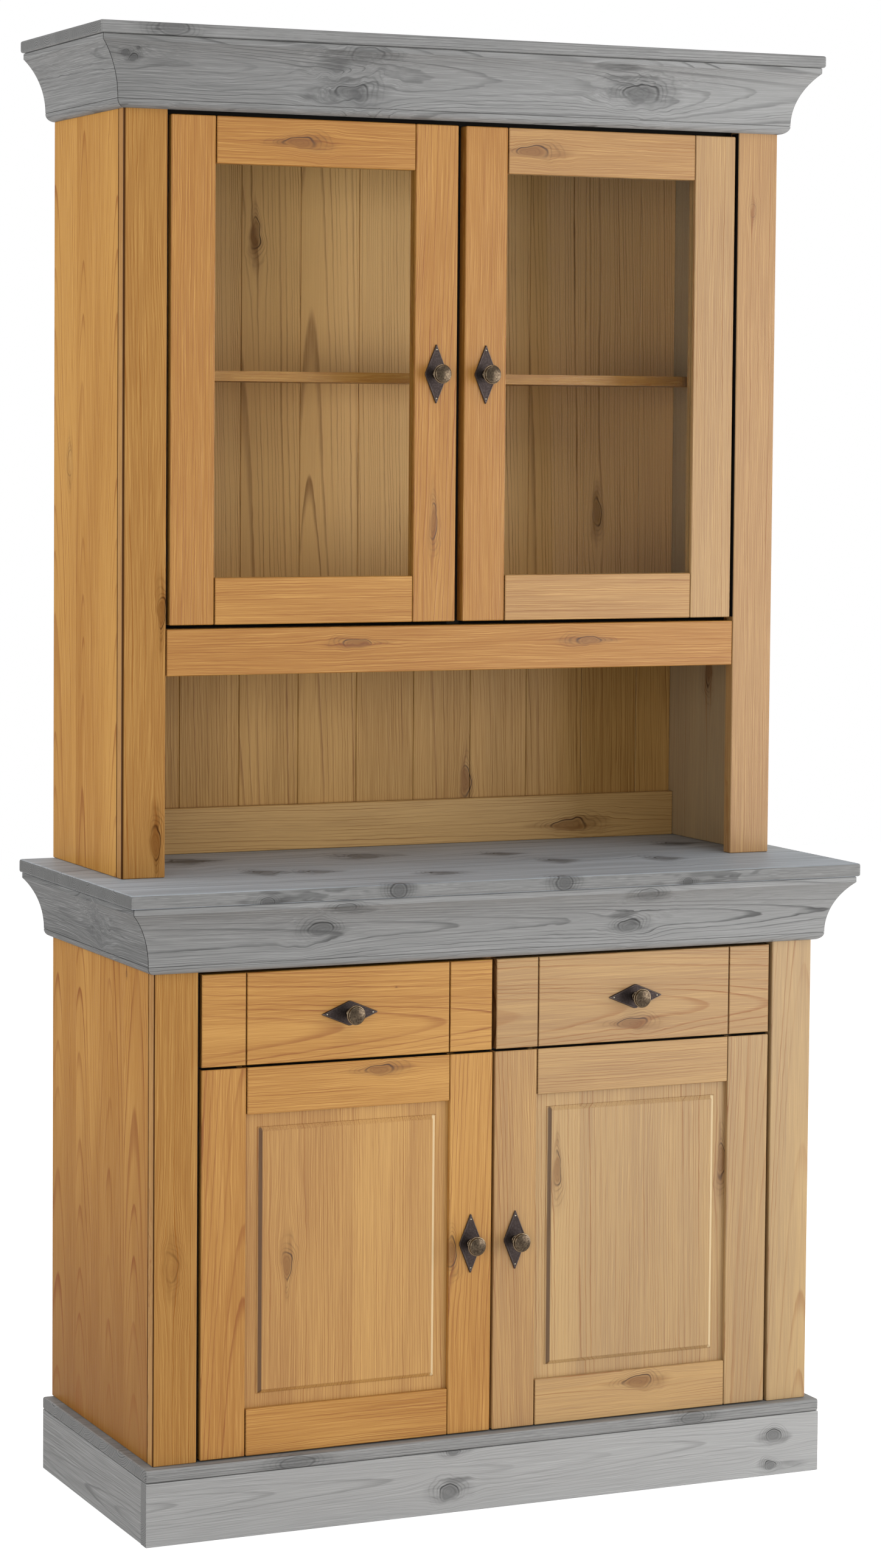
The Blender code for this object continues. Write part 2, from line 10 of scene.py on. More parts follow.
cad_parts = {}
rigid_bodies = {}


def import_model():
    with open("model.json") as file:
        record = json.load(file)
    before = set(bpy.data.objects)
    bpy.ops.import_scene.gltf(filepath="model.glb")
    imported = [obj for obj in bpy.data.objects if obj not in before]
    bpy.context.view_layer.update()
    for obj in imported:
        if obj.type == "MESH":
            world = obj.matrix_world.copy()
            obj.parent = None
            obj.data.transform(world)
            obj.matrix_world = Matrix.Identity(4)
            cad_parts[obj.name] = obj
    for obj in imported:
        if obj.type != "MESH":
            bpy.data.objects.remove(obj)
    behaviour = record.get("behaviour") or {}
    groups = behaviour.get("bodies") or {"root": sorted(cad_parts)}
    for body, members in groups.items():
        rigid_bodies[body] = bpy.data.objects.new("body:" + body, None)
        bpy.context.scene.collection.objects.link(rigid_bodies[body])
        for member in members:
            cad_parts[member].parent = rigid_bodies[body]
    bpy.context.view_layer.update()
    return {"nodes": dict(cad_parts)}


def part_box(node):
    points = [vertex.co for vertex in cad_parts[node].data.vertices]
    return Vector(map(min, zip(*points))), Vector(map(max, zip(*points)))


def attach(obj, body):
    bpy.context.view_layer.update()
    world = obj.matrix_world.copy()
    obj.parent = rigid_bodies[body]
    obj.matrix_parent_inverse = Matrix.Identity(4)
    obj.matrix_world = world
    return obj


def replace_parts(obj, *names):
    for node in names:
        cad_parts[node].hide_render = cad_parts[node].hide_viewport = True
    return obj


for left_over in list(bpy.data.objects):
    bpy.data.objects.remove(left_over, do_unlink=True)
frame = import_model()
nodes = frame["nodes"]


# The plinth: three 20 mm pine boards on edge, stained grey. The front board covers the ends of the
# side boards, glued and pinned, so its own end grain shows at the sides. Planed, then brushed.
JOINT_GAP = 0.0005
EASED_EDGE = 0.0009

# Pine takes a water stain unevenly: the soft early wood goes pale grey, the dense late wood stays a
# darker line, and end grain drinks it and goes darkest. Colours are sRGB hex.
GREY_STAIN = {"early": "8B8B8A", "warm": "787877", "late": "3C3C3C", "end": "525251",
              "knot": "424242", "rim": "262626", "pale": "A0A09F", "line": 0.95, "rough": (0.46, 0.62),
              "gloss": 0.3, "washed": "BEBEBD", "fibre": 0.42}
# The plinth's flat boards were sanded finer than the mouldings, so they took less of the stain.
PALE_GREY_STAIN = {**GREY_STAIN, "early": "A2A2A1", "warm": "8E8E8D", "late": "6A6A69",
                   "pale": "B2B2B1", "end": "4C4C4B", "line": 0.7}

MATH, VECTOR, RANGE = "ShaderNodeMath", "ShaderNodeVectorMath", "ShaderNodeMapRange"
NOISE, SPLIT, JOIN = "ShaderNodeTexNoise", "ShaderNodeSeparateXYZ", "ShaderNodeCombineXYZ"


def linear_rgba(hex_colour):
    """An sRGB hex colour as the linear RGBA that a shader takes."""
    channels = [int(hex_colour[i:i + 2], 16) / 255 for i in (0, 2, 4)]
    return (*(c / 12.92 if c <= 0.04045 else ((c + 0.055) / 1.055) ** 2.4 for c in channels), 1.0)


def add_node(tree, kind, inputs=(), operation=None, **settings):
    """Add one node. Inputs are values, sockets or nodes (their first output), in order or by name."""
    node = tree.nodes.new(kind)
    if operation:
        node.operation = operation
    for key, value in settings.items():
        setattr(node, key, value)
    for key, value in inputs.items() if isinstance(inputs, dict) else enumerate(inputs):
        if isinstance(value, bpy.types.Node):
            value = value.outputs[0]
        if isinstance(value, bpy.types.NodeSocket):
            tree.links.new(value, node.inputs[key])
        else:
            node.inputs[key].default_value = value
    return node


def new_finish(name, **constants):
    """A new material, its node tree and its Principled shader with some constants set on it."""
    material = bpy.data.materials.new(name)
    material.use_nodes = True
    shader = material.node_tree.nodes["Principled BSDF"]
    for label, value in constants.items():
        shader.inputs[label.replace("_", " ")].default_value = value
    return material, material.node_tree, shader


def new_group(name, inputs, outputs):
    """An empty shader group: its tree, its given sockets by name and its result node."""
    tree = bpy.data.node_groups.new(name, "ShaderNodeTree")
    for in_out, sockets in (("INPUT", inputs), ("OUTPUT", outputs)):
        for label in sockets:
            kind = "NodeSocketVector" if label == "Place" else "NodeSocketFloat"
            tree.interface.new_socket(label, in_out=in_out, socket_type=kind)
    return tree, tree.nodes.new("NodeGroupInput").outputs, tree.nodes.new("NodeGroupOutput")


def growth_rings():
    """The figure of sawn pine. Place is along, across and deep from the board's middle, in metres.

    Rings are wavy, slightly conical tubes round the pith, and each glued stave has a pith of its own.
    """
    tree, given, result = new_group(
        "growth_rings",
        ("Place", "Stave width", "Stave start", "Stave spread", "Pith across", "Pith deep", "Ring",
         "Cone", "Wave", "Seed"),
        ("Late wood", "Fibre", "Tone", "Stave"))
    add = partial(add_node, tree)
    along, across, deep = add(SPLIT, [given["Place"]]).outputs
    from_start = add(MATH, [across, given["Stave start"]], "SUBTRACT")
    stave = add(MATH, [from_start, given["Stave width"]], "DIVIDE")
    stave = add(MATH, [stave], "FLOOR")
    number = add(MATH, [stave, given["Seed"]], "ADD")
    lot = add("ShaderNodeTexWhiteNoise", {"W": number}, noise_dimensions="1D")
    lots = add("ShaderNodeSeparateColor", [lot.outputs["Color"]]).outputs
    apart = add(VECTOR, [lot.outputs["Color"], (61.0, 47.0, 83.0)], "MULTIPLY")

    # The stem wanders: slow along the grain, several times quicker across it.
    slow = add(VECTOR, [given["Place"], (2.6, 11.0, 11.0), apart], "MULTIPLY_ADD")
    wander = add(NOISE, {"Vector": slow, "Scale": 1.0, "Detail": 1.6, "Roughness": 0.45})
    wander = add(MATH, [wander, 0.5], "SUBTRACT")
    wander = add(MATH, [wander, given["Wave"], across], "MULTIPLY_ADD")

    middle = add(MATH, [stave, 0.5], "ADD")
    middle = add(MATH, [middle, given["Stave width"], given["Stave start"]], "MULTIPLY_ADD")
    piths = []
    for chance, offset, base in ((lots[0], "Pith across", middle), (lots[1], "Pith deep", 0.0)):
        spread = add(MATH, [chance, 0.5], "SUBTRACT")
        spread = add(MATH, [spread, given["Stave spread"], given[offset]], "MULTIPLY_ADD")
        piths.append(add(MATH, [spread, base], "ADD"))
    # A quick small wobble, some 0.5 mm, which keeps the lines from looking ruled.
    quick = add(VECTOR, [given["Place"], (34.0, 150.0, 150.0), apart], "MULTIPLY_ADD")
    quick = add(NOISE, {"Vector": quick, "Scale": 1.0, "Detail": 1.0})
    quick = add(MATH, [quick, 0.5], "SUBTRACT")
    wander = add(MATH, [quick, 0.0022, wander], "MULTIPLY_ADD")
    off_across = add(MATH, [wander, piths[0]], "SUBTRACT")
    off_deep = add(MATH, [deep, piths[1]], "SUBTRACT")
    offset = add(JOIN, [off_across, off_deep, 0.0])
    radius = add(VECTOR, [offset], "LENGTH").outputs["Value"]
    radius = add(MATH, [along, given["Cone"], radius], "MULTIPLY_ADD")

    # Good and poor years: the spacing drifts over some 15 mm of growth.
    years = add(MATH, [radius, 66.0, number], "MULTIPLY_ADD")
    years = add(NOISE, {"W": years, "Scale": 1.0, "Detail": 1.0}, noise_dimensions="1D")
    rings = add(MATH, [radius, given["Ring"]], "DIVIDE")
    rings = add(MATH, [years, 2.4, rings], "MULTIPLY_ADD")
    year = add(MATH, [rings], "FLOOR")
    season = add(MATH, [rings], "FRACT")
    rise = add(RANGE, [season, 0.68, 0.93, 0.0, 1.0], interpolation_type="SMOOTHSTEP")
    fall = add(RANGE, [season, 0.94, 1.0, 1.0, 0.0], interpolation_type="SMOOTHSTEP")
    late = add(MATH, [rise, fall], "MULTIPLY")
    year = add(MATH, [year, number], "ADD")
    strength = add("ShaderNodeTexWhiteNoise", {"W": year}, noise_dimensions="1D")
    strength = add(RANGE, [strength, 0.0, 1.0, 0.40, 1.0])
    # A ring's line is fainter in patches some 40 mm wide, and breaks up every 45 mm along the grain.
    patch = add(VECTOR, [given["Place"], (5.0, 26.0, 26.0), apart], "MULTIPLY_ADD")
    patch = add(NOISE, {"Vector": patch, "Scale": 1.0, "Detail": 1.0})
    patch = add(RANGE, [patch, 0.34, 0.60, 0.40, 1.0])
    strength = add(MATH, [strength, patch], "MULTIPLY")
    broken = add(VECTOR, [given["Place"], (22.0, 420.0, 420.0), apart], "MULTIPLY_ADD")
    broken = add(NOISE, {"Vector": broken, "Scale": 1.0, "Detail": 1.0})
    broken = add(RANGE, [broken, 0.30, 0.62, 0.72, 1.0])
    strength = add(MATH, [strength, broken], "MULTIPLY")
    tree.links.new(add(MATH, [late, strength], "MULTIPLY").outputs[0], result.inputs["Late wood"])

    # Fibres: real ones are 0.03 mm wide, drawn here as 1 mm streaks some 110 mm long so that they show.
    strand = add(JOIN, [along, wander, deep])
    strand = add(VECTOR, [strand, (9.0, 1050.0, 1050.0), apart], "MULTIPLY_ADD")
    fibre = add(NOISE, {"Vector": strand, "Scale": 1.0, "Detail": 3.0, "Roughness": 0.6})
    tree.links.new(fibre.outputs[0], result.inputs["Fibre"])

    # Slow changes of tone, about 60 mm wide and half a metre long.
    tone = add(VECTOR, [given["Place"], (1.8, 17.0, 17.0), apart], "MULTIPLY_ADD")
    tone = add(NOISE, {"Vector": tone, "Scale": 1.0, "Detail": 1.5})
    tree.links.new(tone.outputs[0], result.inputs["Tone"])
    tree.links.new(lots[2], result.inputs["Stave"])
    return tree


KNOT_FIGURES = ("Along", "Across", "Half length", "Half width", "Lean", "Bark", "Stain", "Deep",
                "Half depth")


def pine_knot():
    """One knot: it pushes the grain lines aside, and gives its stained body and its bark-dark lines."""
    tree, given, result = new_group("pine_knot", ("Place", *KNOT_FIGURES, "Body before", "Rim before"),
                                    ("Place", "Body", "Rim"))
    add = partial(add_node, tree)
    along, across, deep = add(SPLIT, [given["Place"]]).outputs
    # Its outline strays softly by some 3 mm, so that it isn't a drawn ellipse.
    stray = add(NOISE, {"Vector": given["Place"], "Scale": 48.0, "Detail": 1.0, "Roughness": 0.35})
    stray = add(VECTOR, [stray.outputs["Color"], (0.5, 0.5, 0.5)], "SUBTRACT")
    stray = add(SPLIT, [stray]).outputs
    from_along = add(MATH, [along, given["Along"]], "SUBTRACT")
    from_across = add(MATH, [across, given["Across"]], "SUBTRACT")
    u = add(MATH, [from_along, given["Half length"]], "DIVIDE")
    u = add(MATH, [stray[0], 0.7, u], "MULTIPLY_ADD")
    # A leaning branch is cut to a teardrop: wide at one end and drawn out at the other.
    taper = add(MATH, [u, -1.2], "MAXIMUM")
    taper = add(MATH, [taper, 1.2], "MINIMUM")
    taper = add(MATH, [taper, given["Lean"]], "MULTIPLY")
    taper = add(MATH, [1.0, taper], "SUBTRACT")
    width = add(MATH, [taper, given["Half width"]], "MULTIPLY")
    v = add(MATH, [from_across, width], "DIVIDE")
    v = add(MATH, [stray[1], 0.9, v], "MULTIPLY_ADD")
    w = add(MATH, [deep, given["Deep"]], "SUBTRACT")
    w = add(MATH, [w, given["Half depth"]], "DIVIDE")
    away = add(JOIN, [u, v, w])
    away = add(VECTOR, [away], "LENGTH").outputs["Value"]
    # The pull reaches twice as far along the grain as the knot itself.
    reach = add(MATH, [u, 0.5], "MULTIPLY")
    reach = add(JOIN, [reach, v, w])
    square = add(VECTOR, [reach, reach], "DOT_PRODUCT").outputs["Value"]
    pull = add(MATH, [square, -0.36], "MULTIPLY")
    pull = add(MATH, [pull], "EXPONENT")
    pull = add(MATH, [pull, -0.95, 1.0], "MULTIPLY_ADD")
    moved = add(MATH, [from_across, pull, given["Across"]], "MULTIPLY_ADD")
    tree.links.new(add(JOIN, [along, moved, deep]).outputs[0], result.inputs["Place"])
    # The stain gathers in it, and in streaks round it that follow the bent grain.
    body = add(RANGE, [away, 0.7, 1.05, 0.8, 0.0], interpolation_type="SMOOTHSTEP")
    body = add(MATH, [body, given["Bark"]], "MULTIPLY")
    streak = add(JOIN, [along, moved, deep])
    streak = add(VECTOR, [streak, (26.0, 420.0, 420.0)], "MULTIPLY")
    streak = add(NOISE, {"Vector": streak, "Scale": 1.0, "Detail": 2.0})
    streak = add(RANGE, [streak, 0.36, 0.62, 0.25, 1.0])
    smear = add(RANGE, [square, 0.0, 2.2, 0.75, 0.0], interpolation_type="SMOOTHSTEP")
    smear = add(MATH, [smear, streak], "MULTIPLY")
    body = add(MATH, [body, smear], "MAXIMUM")
    body = add(MATH, [body, given["Stain"]], "MULTIPLY")
    # Bark shows as broken lines, strongest on the side that the branch leans to.
    side = add(RANGE, [v, -0.7, 0.7, 0.2, 1.0])
    lines = 0.0
    for place, half, strength in ((0.30, 0.08, 0.22), (0.62, 0.08, 0.26), (0.97, 0.15, 1.00),
                                  (1.30, 0.09, 0.40), (1.62, 0.10, 0.30), (2.00, 0.12, 0.18)):
        line = add(MATH, [away, place], "SUBTRACT")
        line = add(MATH, [line], "ABSOLUTE")
        line = add(RANGE, [line, 0.0, half, strength, 0.0], interpolation_type="SMOOTHSTEP")
        lines = add(MATH, [line, lines], "MAXIMUM")
    lines = add(MATH, [lines, side], "MULTIPLY")
    lines = add(MATH, [lines, given["Bark"]], "MULTIPLY")
    for value, before in ((body, "Body before"), (lines, "Rim before")):
        most = add(MATH, [value, given[before]], "MAXIMUM")
        tree.links.new(most.outputs[0], result.inputs[before.split()[0]])
    return tree


RINGS, KNOT = growth_rings(), pine_knot()
AXES = {"x": 0, "y": 1, "z": 2}
# What a knot takes where its tuple stops short: no lean, full bark, a light stain, right through.
PLAIN_KNOT = (0.0, 1.0, 0.8, None, 1.0)
# A painted highlight, as pale as bare wood, and black painted shade for an edge that lies deep in a gap.
PAINTED_HIGHLIGHT, GAP_SHADE_BLACK = "E9D7B0", "12100E"
# A board in one piece is one stave, far wider than itself. Glued staves come from stems whose piths
# lie up to this far apart.
ONE_STAVE, STEM_SPREAD = 10.0, 0.09
log_pile = random.Random(41)


def pine(name, stain, grain, middle, ring=0.0026, pith=None, cone=0.012, wave=0.010, staves=None,
         knots=(), tone=0.0, gloss=None, joints=(), wash=0.0, wash_from=None, blacked=None):
    """A pine finish for one board.

    grain names the axes along the grain, across the face and into it; middle is the board's middle.
    pith is how far the stem's centre lies across and deep. staves is (width, a glue line's place).
    Each knot is (along, across, half length, half width, lean, bark, stain, deep, half depth), its
    places in the part's frame; one with no bark is a patch where the stain has gathered.
    joints are upright lines (x, y, radius, strength): dark stain left in a joint, or
    painted shade along an eased edge or a bevel, or, with a strength below nought, a painted
    highlight. wash is how much of the stain's painted-light colour is laid over the wood:
    painted sheen where that colour is pale, painted shade where it is dark, painted light where it
    is warm. wash_from, if given, is an axis and the two places on it between which that
    grows from nothing, and "front" if the rear keeps its colour. blacked is a place on
    the y axis in front of which all is painted black, or "top" for black top edges: painted shade
    for edges deep in a gap.
    """
    seed = log_pile.uniform(0, 900)
    if pith is None:
        pith = (log_pile.choice((-1, 1)) * log_pile.uniform(0.05, 0.12), log_pile.uniform(0.01, 0.05))
    order = [AXES[letter] for letter in grain]
    shine = stain["gloss"] if gloss is None else gloss
    material, tree, shader = new_finish(name, Specular_IOR_Level=shine)
    add = partial(add_node, tree)
    where = add("ShaderNodeTexCoord")
    centred = add("ShaderNodeMapping", {"Vector": where.outputs["Object"],
                                        "Location": tuple(-c for c in middle)})
    split = add(SPLIT, [centred]).outputs
    place = add(JOIN, [split[i] for i in order]).outputs[0]
    body, rim = 0.0, 0.0
    for number, figures in enumerate(knots):
        figures = list(figures) + list(PLAIN_KNOT[len(figures) - 4:])
        figures[0] -= middle[order[0]]
        figures[1] -= middle[order[1]]
        figures[7] = 0.0 if figures[7] is None else figures[7] - middle[order[2]]
        knot = add("ShaderNodeGroup", node_tree=KNOT)
        tree.links.new(place, knot.inputs["Place"])
        for label, value in zip(KNOT_FIGURES, figures):
            knot.inputs[label].default_value = value
        if number:
            tree.links.new(body, knot.inputs["Body before"])
            tree.links.new(rim, knot.inputs["Rim before"])
        place, body, rim = knot.outputs
    width, start = staves if staves else (ONE_STAVE, middle[order[1]] - ONE_STAVE / 2)
    figure = add("ShaderNodeGroup", node_tree=RINGS)
    tree.links.new(place, figure.inputs["Place"])
    for label, value in (("Stave width", width), ("Stave start", start - middle[order[1]]),
                         ("Stave spread", STEM_SPREAD if staves else 0.0), ("Pith across", pith[0]),
                         ("Pith deep", pith[1]), ("Ring", ring), ("Cone", cone), ("Wave", wave),
                         ("Seed", seed)):
        figure.inputs[label].default_value = value
    late, fibre, slow, stave = figure.outputs

    # Over the early wood lie these coats, from the lowest up: how much of each shows, and its colour.
    warmth = add(MATH, [stave, 0.35, slow], "MULTIPLY_ADD")
    warmth = add(RANGE, [warmth, 0.40, 0.84, 0.0 + tone, 1.0 + tone])
    bright = add(RANGE, [fibre, 0.50, 0.30, 0.0, stain["fibre"]])
    dull = add(RANGE, [fibre, 0.52, 0.72, 0.0, stain["fibre"]])
    coats = [(warmth, stain["warm"]), (bright, stain["pale"]), (dull, stain["late"])]
    # Painted light: the stain's painted-light colour laid over the wood, pale painted sheen for most
    # stains, painted shade or painted light where a stain sets it dark or warm.
    if wash:
        wear_and_painted_light = wash
        if wash_from is not None:
            axis, start, end = wash_from[:3]
            reach = add(SPLIT, [where.outputs["Object"]]).outputs[AXES[axis]]
            wear_and_painted_light = add(RANGE, [reach, start, end, 0.0, wash])
            if "front" in wash_from:
                turned = add(SPLIT, [where.outputs["Normal"]]).outputs["Y"]
                turned = add(RANGE, [turned, 0.3, 0.1, 0.0, 1.0])
                wear_and_painted_light = add(MATH, [wear_and_painted_light, turned], "MULTIPLY")
        coats.append((wear_and_painted_light, stain["washed"]))
    facing = add(SPLIT, [where.outputs["Normal"]]).outputs
    # Painted light: a stain with a top colour paints the upward faces with it, paler and cooler.
    if "top" in stain:
        upward = add(MATH, [facing[order[2]]], "ABSOLUTE")
        upward = add(RANGE, [upward, 0.6, 0.95, 0.0, 0.7], interpolation_type="SMOOTHSTEP")
        # Streaks some 10 mm wide, left by the cloth; finer ones wouldn't show on a top seen so flat.
        wiped = add(VECTOR, [place, (3.0, 95.0, 95.0)], "MULTIPLY")
        wiped = add(NOISE, {"Vector": wiped, "Scale": 1.0, "Detail": 2.0})
        wiped = add(RANGE, [wiped, 0.42, 0.66, 0.0, 0.4])
        wiped = add(MATH, [wiped, upward], "MULTIPLY")
        coats += [(upward, stain["top"]), (wiped, stain["late"])]
    sawn = add(MATH, [facing[order[0]]], "ABSOLUTE")
    sawn = add(RANGE, [sawn, 0.8, 0.97, 0.0, 0.7], interpolation_type="SMOOTHSTEP")
    # The rings are cut square on at the ends, so they show there at their full strength.
    # Painted sheen laid evenly over a board veils its ring lines too.
    shown = stain["line"] * (1.0 - (wash if wash_from is None else 0.0))
    line = add(MATH, [sawn, 0.6, shown], "MULTIPLY_ADD")
    line = add(MATH, [late, line], "MULTIPLY")
    cut = add(MATH, [late, 4.0], "MULTIPLY", use_clamp=True)
    cut = add(MATH, [cut, sawn], "MULTIPLY")
    coats += [(sawn, stain["end"]), (line, stain["late"]), (cut, stain["rim"])]
    # Upright lines: dark stain in a joint, painted shade along an eased edge or a bevel, and with a
    # strength below nought a painted highlight.
    for x, y, radius, strength in joints:
        from_line = add(VECTOR, [where.outputs["Object"], (x, y, 0.0)], "SUBTRACT")
        from_line = add(VECTOR, [from_line, (1.0, 1.0, 0.0)], "MULTIPLY")
        from_line = add(VECTOR, [from_line], "LENGTH").outputs["Value"]
        near = add(RANGE, [from_line, radius * 0.55, radius, abs(strength), 0.0])
        coats.append((near, stain["rim"] if strength > 0 else PAINTED_HIGHLIGHT))
    if knots:
        coats += [(body, stain["knot"]), (rim, stain["rim"])]
    # Painted shade: black on faces that lie deep in a gap.
    if blacked is not None:
        if blacked == "top":
            black = add(MATH, [facing["Z"], 0.95], "GREATER_THAN")
        else:
            depth = add(SPLIT, [where.outputs["Object"]]).outputs["Y"]
            black = add(MATH, [depth, blacked], "LESS_THAN")
        coats.append((black, GAP_SHADE_BLACK))
    colour = linear_rgba(stain["early"])
    for amount, coat in coats:
        mix = add("ShaderNodeMix", {0: amount, 6: colour, 7: linear_rgba(coat)}, data_type="RGBA")
        colour = mix.outputs[2]
    tree.links.new(colour, shader.inputs["Base Color"])
    low, high = stain["rough"]
    tree.links.new(add(RANGE, [fibre, 0.3, 0.7, low, high]).outputs[0], shader.inputs["Roughness"])
    # Brushing wears the early wood back, so the late wood stands some 0.1 mm proud.
    height = add(MATH, [fibre, 0.35, late], "MULTIPLY_ADD")
    bump = add("ShaderNodeBump", {"Strength": 0.45, "Distance": 0.00025, "Height": height})
    tree.links.new(bump.outputs[0], shader.inputs["Normal"])
    return material


def middle_of(node):
    """The middle of a CAD node's box."""
    low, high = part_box(node)
    return tuple((low + high) / 2)


def dress(node, stain, grain, **timber):
    """Give a CAD node that keeps its shape a pine finish of its own."""
    mesh = nodes[node].data
    mesh.materials.clear()
    mesh.materials.append(pine(f"{node}_pine", stain, grain, middle_of(node), **timber))


def put_in_scene(name, data):
    """A new object for a mesh, a lamp or a camera."""
    thing = bpy.data.objects.new(name, data)
    bpy.context.scene.collection.objects.link(thing)
    return thing


def made_mesh(name, bm):
    """A bmesh as a mesh of its own, with its faces outwards."""
    bmesh.ops.recalc_face_normals(bm, faces=bm.faces)
    mesh = bpy.data.meshes.new(name)
    bm.to_mesh(mesh)
    bm.free()
    return mesh


def finish_piece(name, bm, material, body):
    """Turn a bmesh into a piece at its place in the part's frame, riding on its body."""
    piece = put_in_scene(name, made_mesh(name, bm))
    piece.data.materials.append(material)
    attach(piece, body)
    return piece


def planed_block(low, high, eased=EASED_EDGE):
    """A bmesh block between two corners with its edges rounded over."""
    bm = bmesh.new()
    bmesh.ops.create_cube(bm, size=1.0)
    size = Vector(high) - Vector(low)
    bmesh.ops.transform(bm, matrix=Matrix.Diagonal((*size, 1.0)), verts=bm.verts)
    bmesh.ops.translate(bm, vec=(Vector(low) + Vector(high)) / 2, verts=bm.verts)
    bmesh.ops.bevel(bm, geom=bm.edges[:], offset=eased, segments=2, profile=0.5, affect="EDGES")
    return bm


plinth_low, plinth_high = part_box("plinth_frame")
PLINTH_BOARD, SET_BACK = 0.020, 0.0008
front_back = plinth_low.y + PLINTH_BOARD
# The front board carries a pale painted sheen that grows towards the right.
plinth_boards = {
    "plinth_front_board": (plinth_low, Vector((plinth_high.x, front_back, plinth_high.z)), "xzy",
                           dict(pith=(0.012, 0.020), ring=0.0026, cone=0.018, wave=0.016, tone=0.9,
                                wash=0.26, wash_from=("x", -0.5, 0.5),
                                knots=[(-0.0636, 0.0850, 0.012, 0.007, 0.0, 1.0, 0.8),
                                       (-0.0698, 0.0290, 0.015, 0.012, 0.1, 1.0, 0.8),
                                       (-0.0560, 0.0370, 0.010, 0.006, 0.0, 0.0, 0.8),
                                       (0.4399, 0.0561, 0.012, 0.009, 0.0, 1.0, 0.8),
                                       (0.4369, 0.0150, 0.009, 0.007, 0.3, 1.0, 0.8),
                                       (0.4600, 0.0130, 0.016, 0.004, 0.0, 0.0, 0.8)])),
    "plinth_left_board": (Vector((plinth_low.x + SET_BACK, front_back + JOINT_GAP, 0.0)),
                          Vector((plinth_low.x + PLINTH_BOARD, plinth_high.y, plinth_high.z)), "yzx",
                          dict(pith=(-0.02, 0.03), ring=0.0026, cone=0.02, tone=0.9)),
    "plinth_right_board": (Vector((plinth_high.x - PLINTH_BOARD, front_back + JOINT_GAP, 0.0)),
                           Vector((plinth_high.x - SET_BACK, plinth_high.y, plinth_high.z)), "yzx",
                           dict(pith=(0.03, 0.03), ring=0.0024, cone=0.02)),
}
for name, (low, high, grain, timber) in plinth_boards.items():
    stain = PALE_GREY_STAIN if "front" in name else GREY_STAIN
    finish = pine(f"{name}_pine", stain, grain, tuple((low + high) / 2), **timber)
    board = finish_piece(name, planed_block(low, high), finish, "carcass")
    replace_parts(board, "plinth_frame")


# The slab on the plinth: an edge-glued pine board with rounded edges, stained grey, screwed down from
# inside. It is also the floor of the base. Staves of about 60 mm, their end grain at both sides.
SLAB_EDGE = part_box("plinth_slab")[0].y
dress("plinth_slab", GREY_STAIN, "xyz", ring=0.0030, cone=0.006, wave=0.003,
      staves=(0.061, -0.196), tone=0.15, pith=(0.0, 0.02),
      knots=[(-0.2953, SLAB_EDGE, 0.024, 0.020, 0.3, 0.7, 0.8, 0.0930, 0.009),
             (0.3100, SLAB_EDGE, 0.018, 0.016, 0.2, 0.7, 0.8, 0.0960, 0.008)])


# The base's side boards and front posts: 18 mm sides and 20 mm posts of pine, planed, stained honey
# and waxed. The posts are glued over the front edges of the sides.
# Wax deepens pine: early wood honey, late wood orange-brown, knots ringed with dark bark.
HONEY_WAX = {"early": "B48542", "warm": "9C6B2C", "late": "7E440A", "end": "70461E",
             "knot": "6A3F14", "rim": "3A1E08", "pale": "CA9C56", "line": 1.0, "rough": (0.34, 0.46),
             "gloss": 0.36, "fibre": 0.5, "washed": "A0AA98"}
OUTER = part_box("base_side_left")[0].x
BASE_JOINT = (OUTER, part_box("base_side_left")[0].y, 0.0017, 0.95)
SIDE_TIMBER = dict(gloss=0.03, pith=(0.0, 0.040), cone=0.050, wave=0.030)
# The foot of the side is painted darker towards the floor: painted shade.
SHADED_FOOT_STAIN = {**HONEY_WAX, "washed": "73481A"}
dress("base_side_left", SHADED_FOOT_STAIN, "zyx", ring=0.0052, staves=(0.098, -0.165), tone=-0.15,
      wash=0.65, wash_from=("z", 0.62, 0.12),
      knots=[(0.752, -0.075, 0.004, 0.003, 0.0)], joints=[BASE_JOINT], **SIDE_TIMBER)
dress("base_side_right", HONEY_WAX, "zyx", ring=0.0051, staves=(0.102, -0.165), **SIDE_TIMBER)
# Both posts carry a pale painted sheen, the right one most.
dress("base_pilaster_left", HONEY_WAX, "zxy", gloss=0.03, wash=0.08, ring=0.0033, pith=(0.10, 0.02),
      cone=0.004, tone=0.1, knots=[(0.3711, -0.4743, 0.021, 0.011, 0.0, 0.35, 0.4)],
      # The second line is painted shade down the post's front left corner.
      joints=[BASE_JOINT, (OUTER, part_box("base_pilaster_left")[0].y, 0.0020, 0.95)])
dress("base_pilaster_right", HONEY_WAX, "zxy", ring=0.0052, wash=0.28, pith=(0.02, 0.045), cone=0.030,
      tone=-0.1)


# Inside the base: a 9 mm back, the board that the drawers run on with its guide strips, and the
# upright between them. Plain planed pine under one thin coat of wax, so it is paler and duller.
THIN_WAX = {"early": "C6A06C", "warm": "B98C55", "late": "9A6835", "end": "9A7244",
            "knot": "966A35", "rim": "5E3A18", "pale": "DDBB8A", "line": 0.6, "rough": (0.52, 0.66),
            "gloss": 0.3, "washed": "BEBEBD", "fibre": 0.5}
dress("base_back", THIN_WAX, "zxy", ring=0.0049, staves=(0.12, -0.481))
# The front edge of the board that the drawers run on is painted black to this depth: painted shade for
# the gap over the doors.
GAP_SHADE_DEPTH = 0.002
dress("drawer_board", THIN_WAX, "xyz", ring=0.0049, staves=(0.09, -0.16),
      blacked=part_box("drawer_board")[0].y + GAP_SHADE_DEPTH)
dress("drawer_divider", THIN_WAX, "yzx", ring=0.0030)
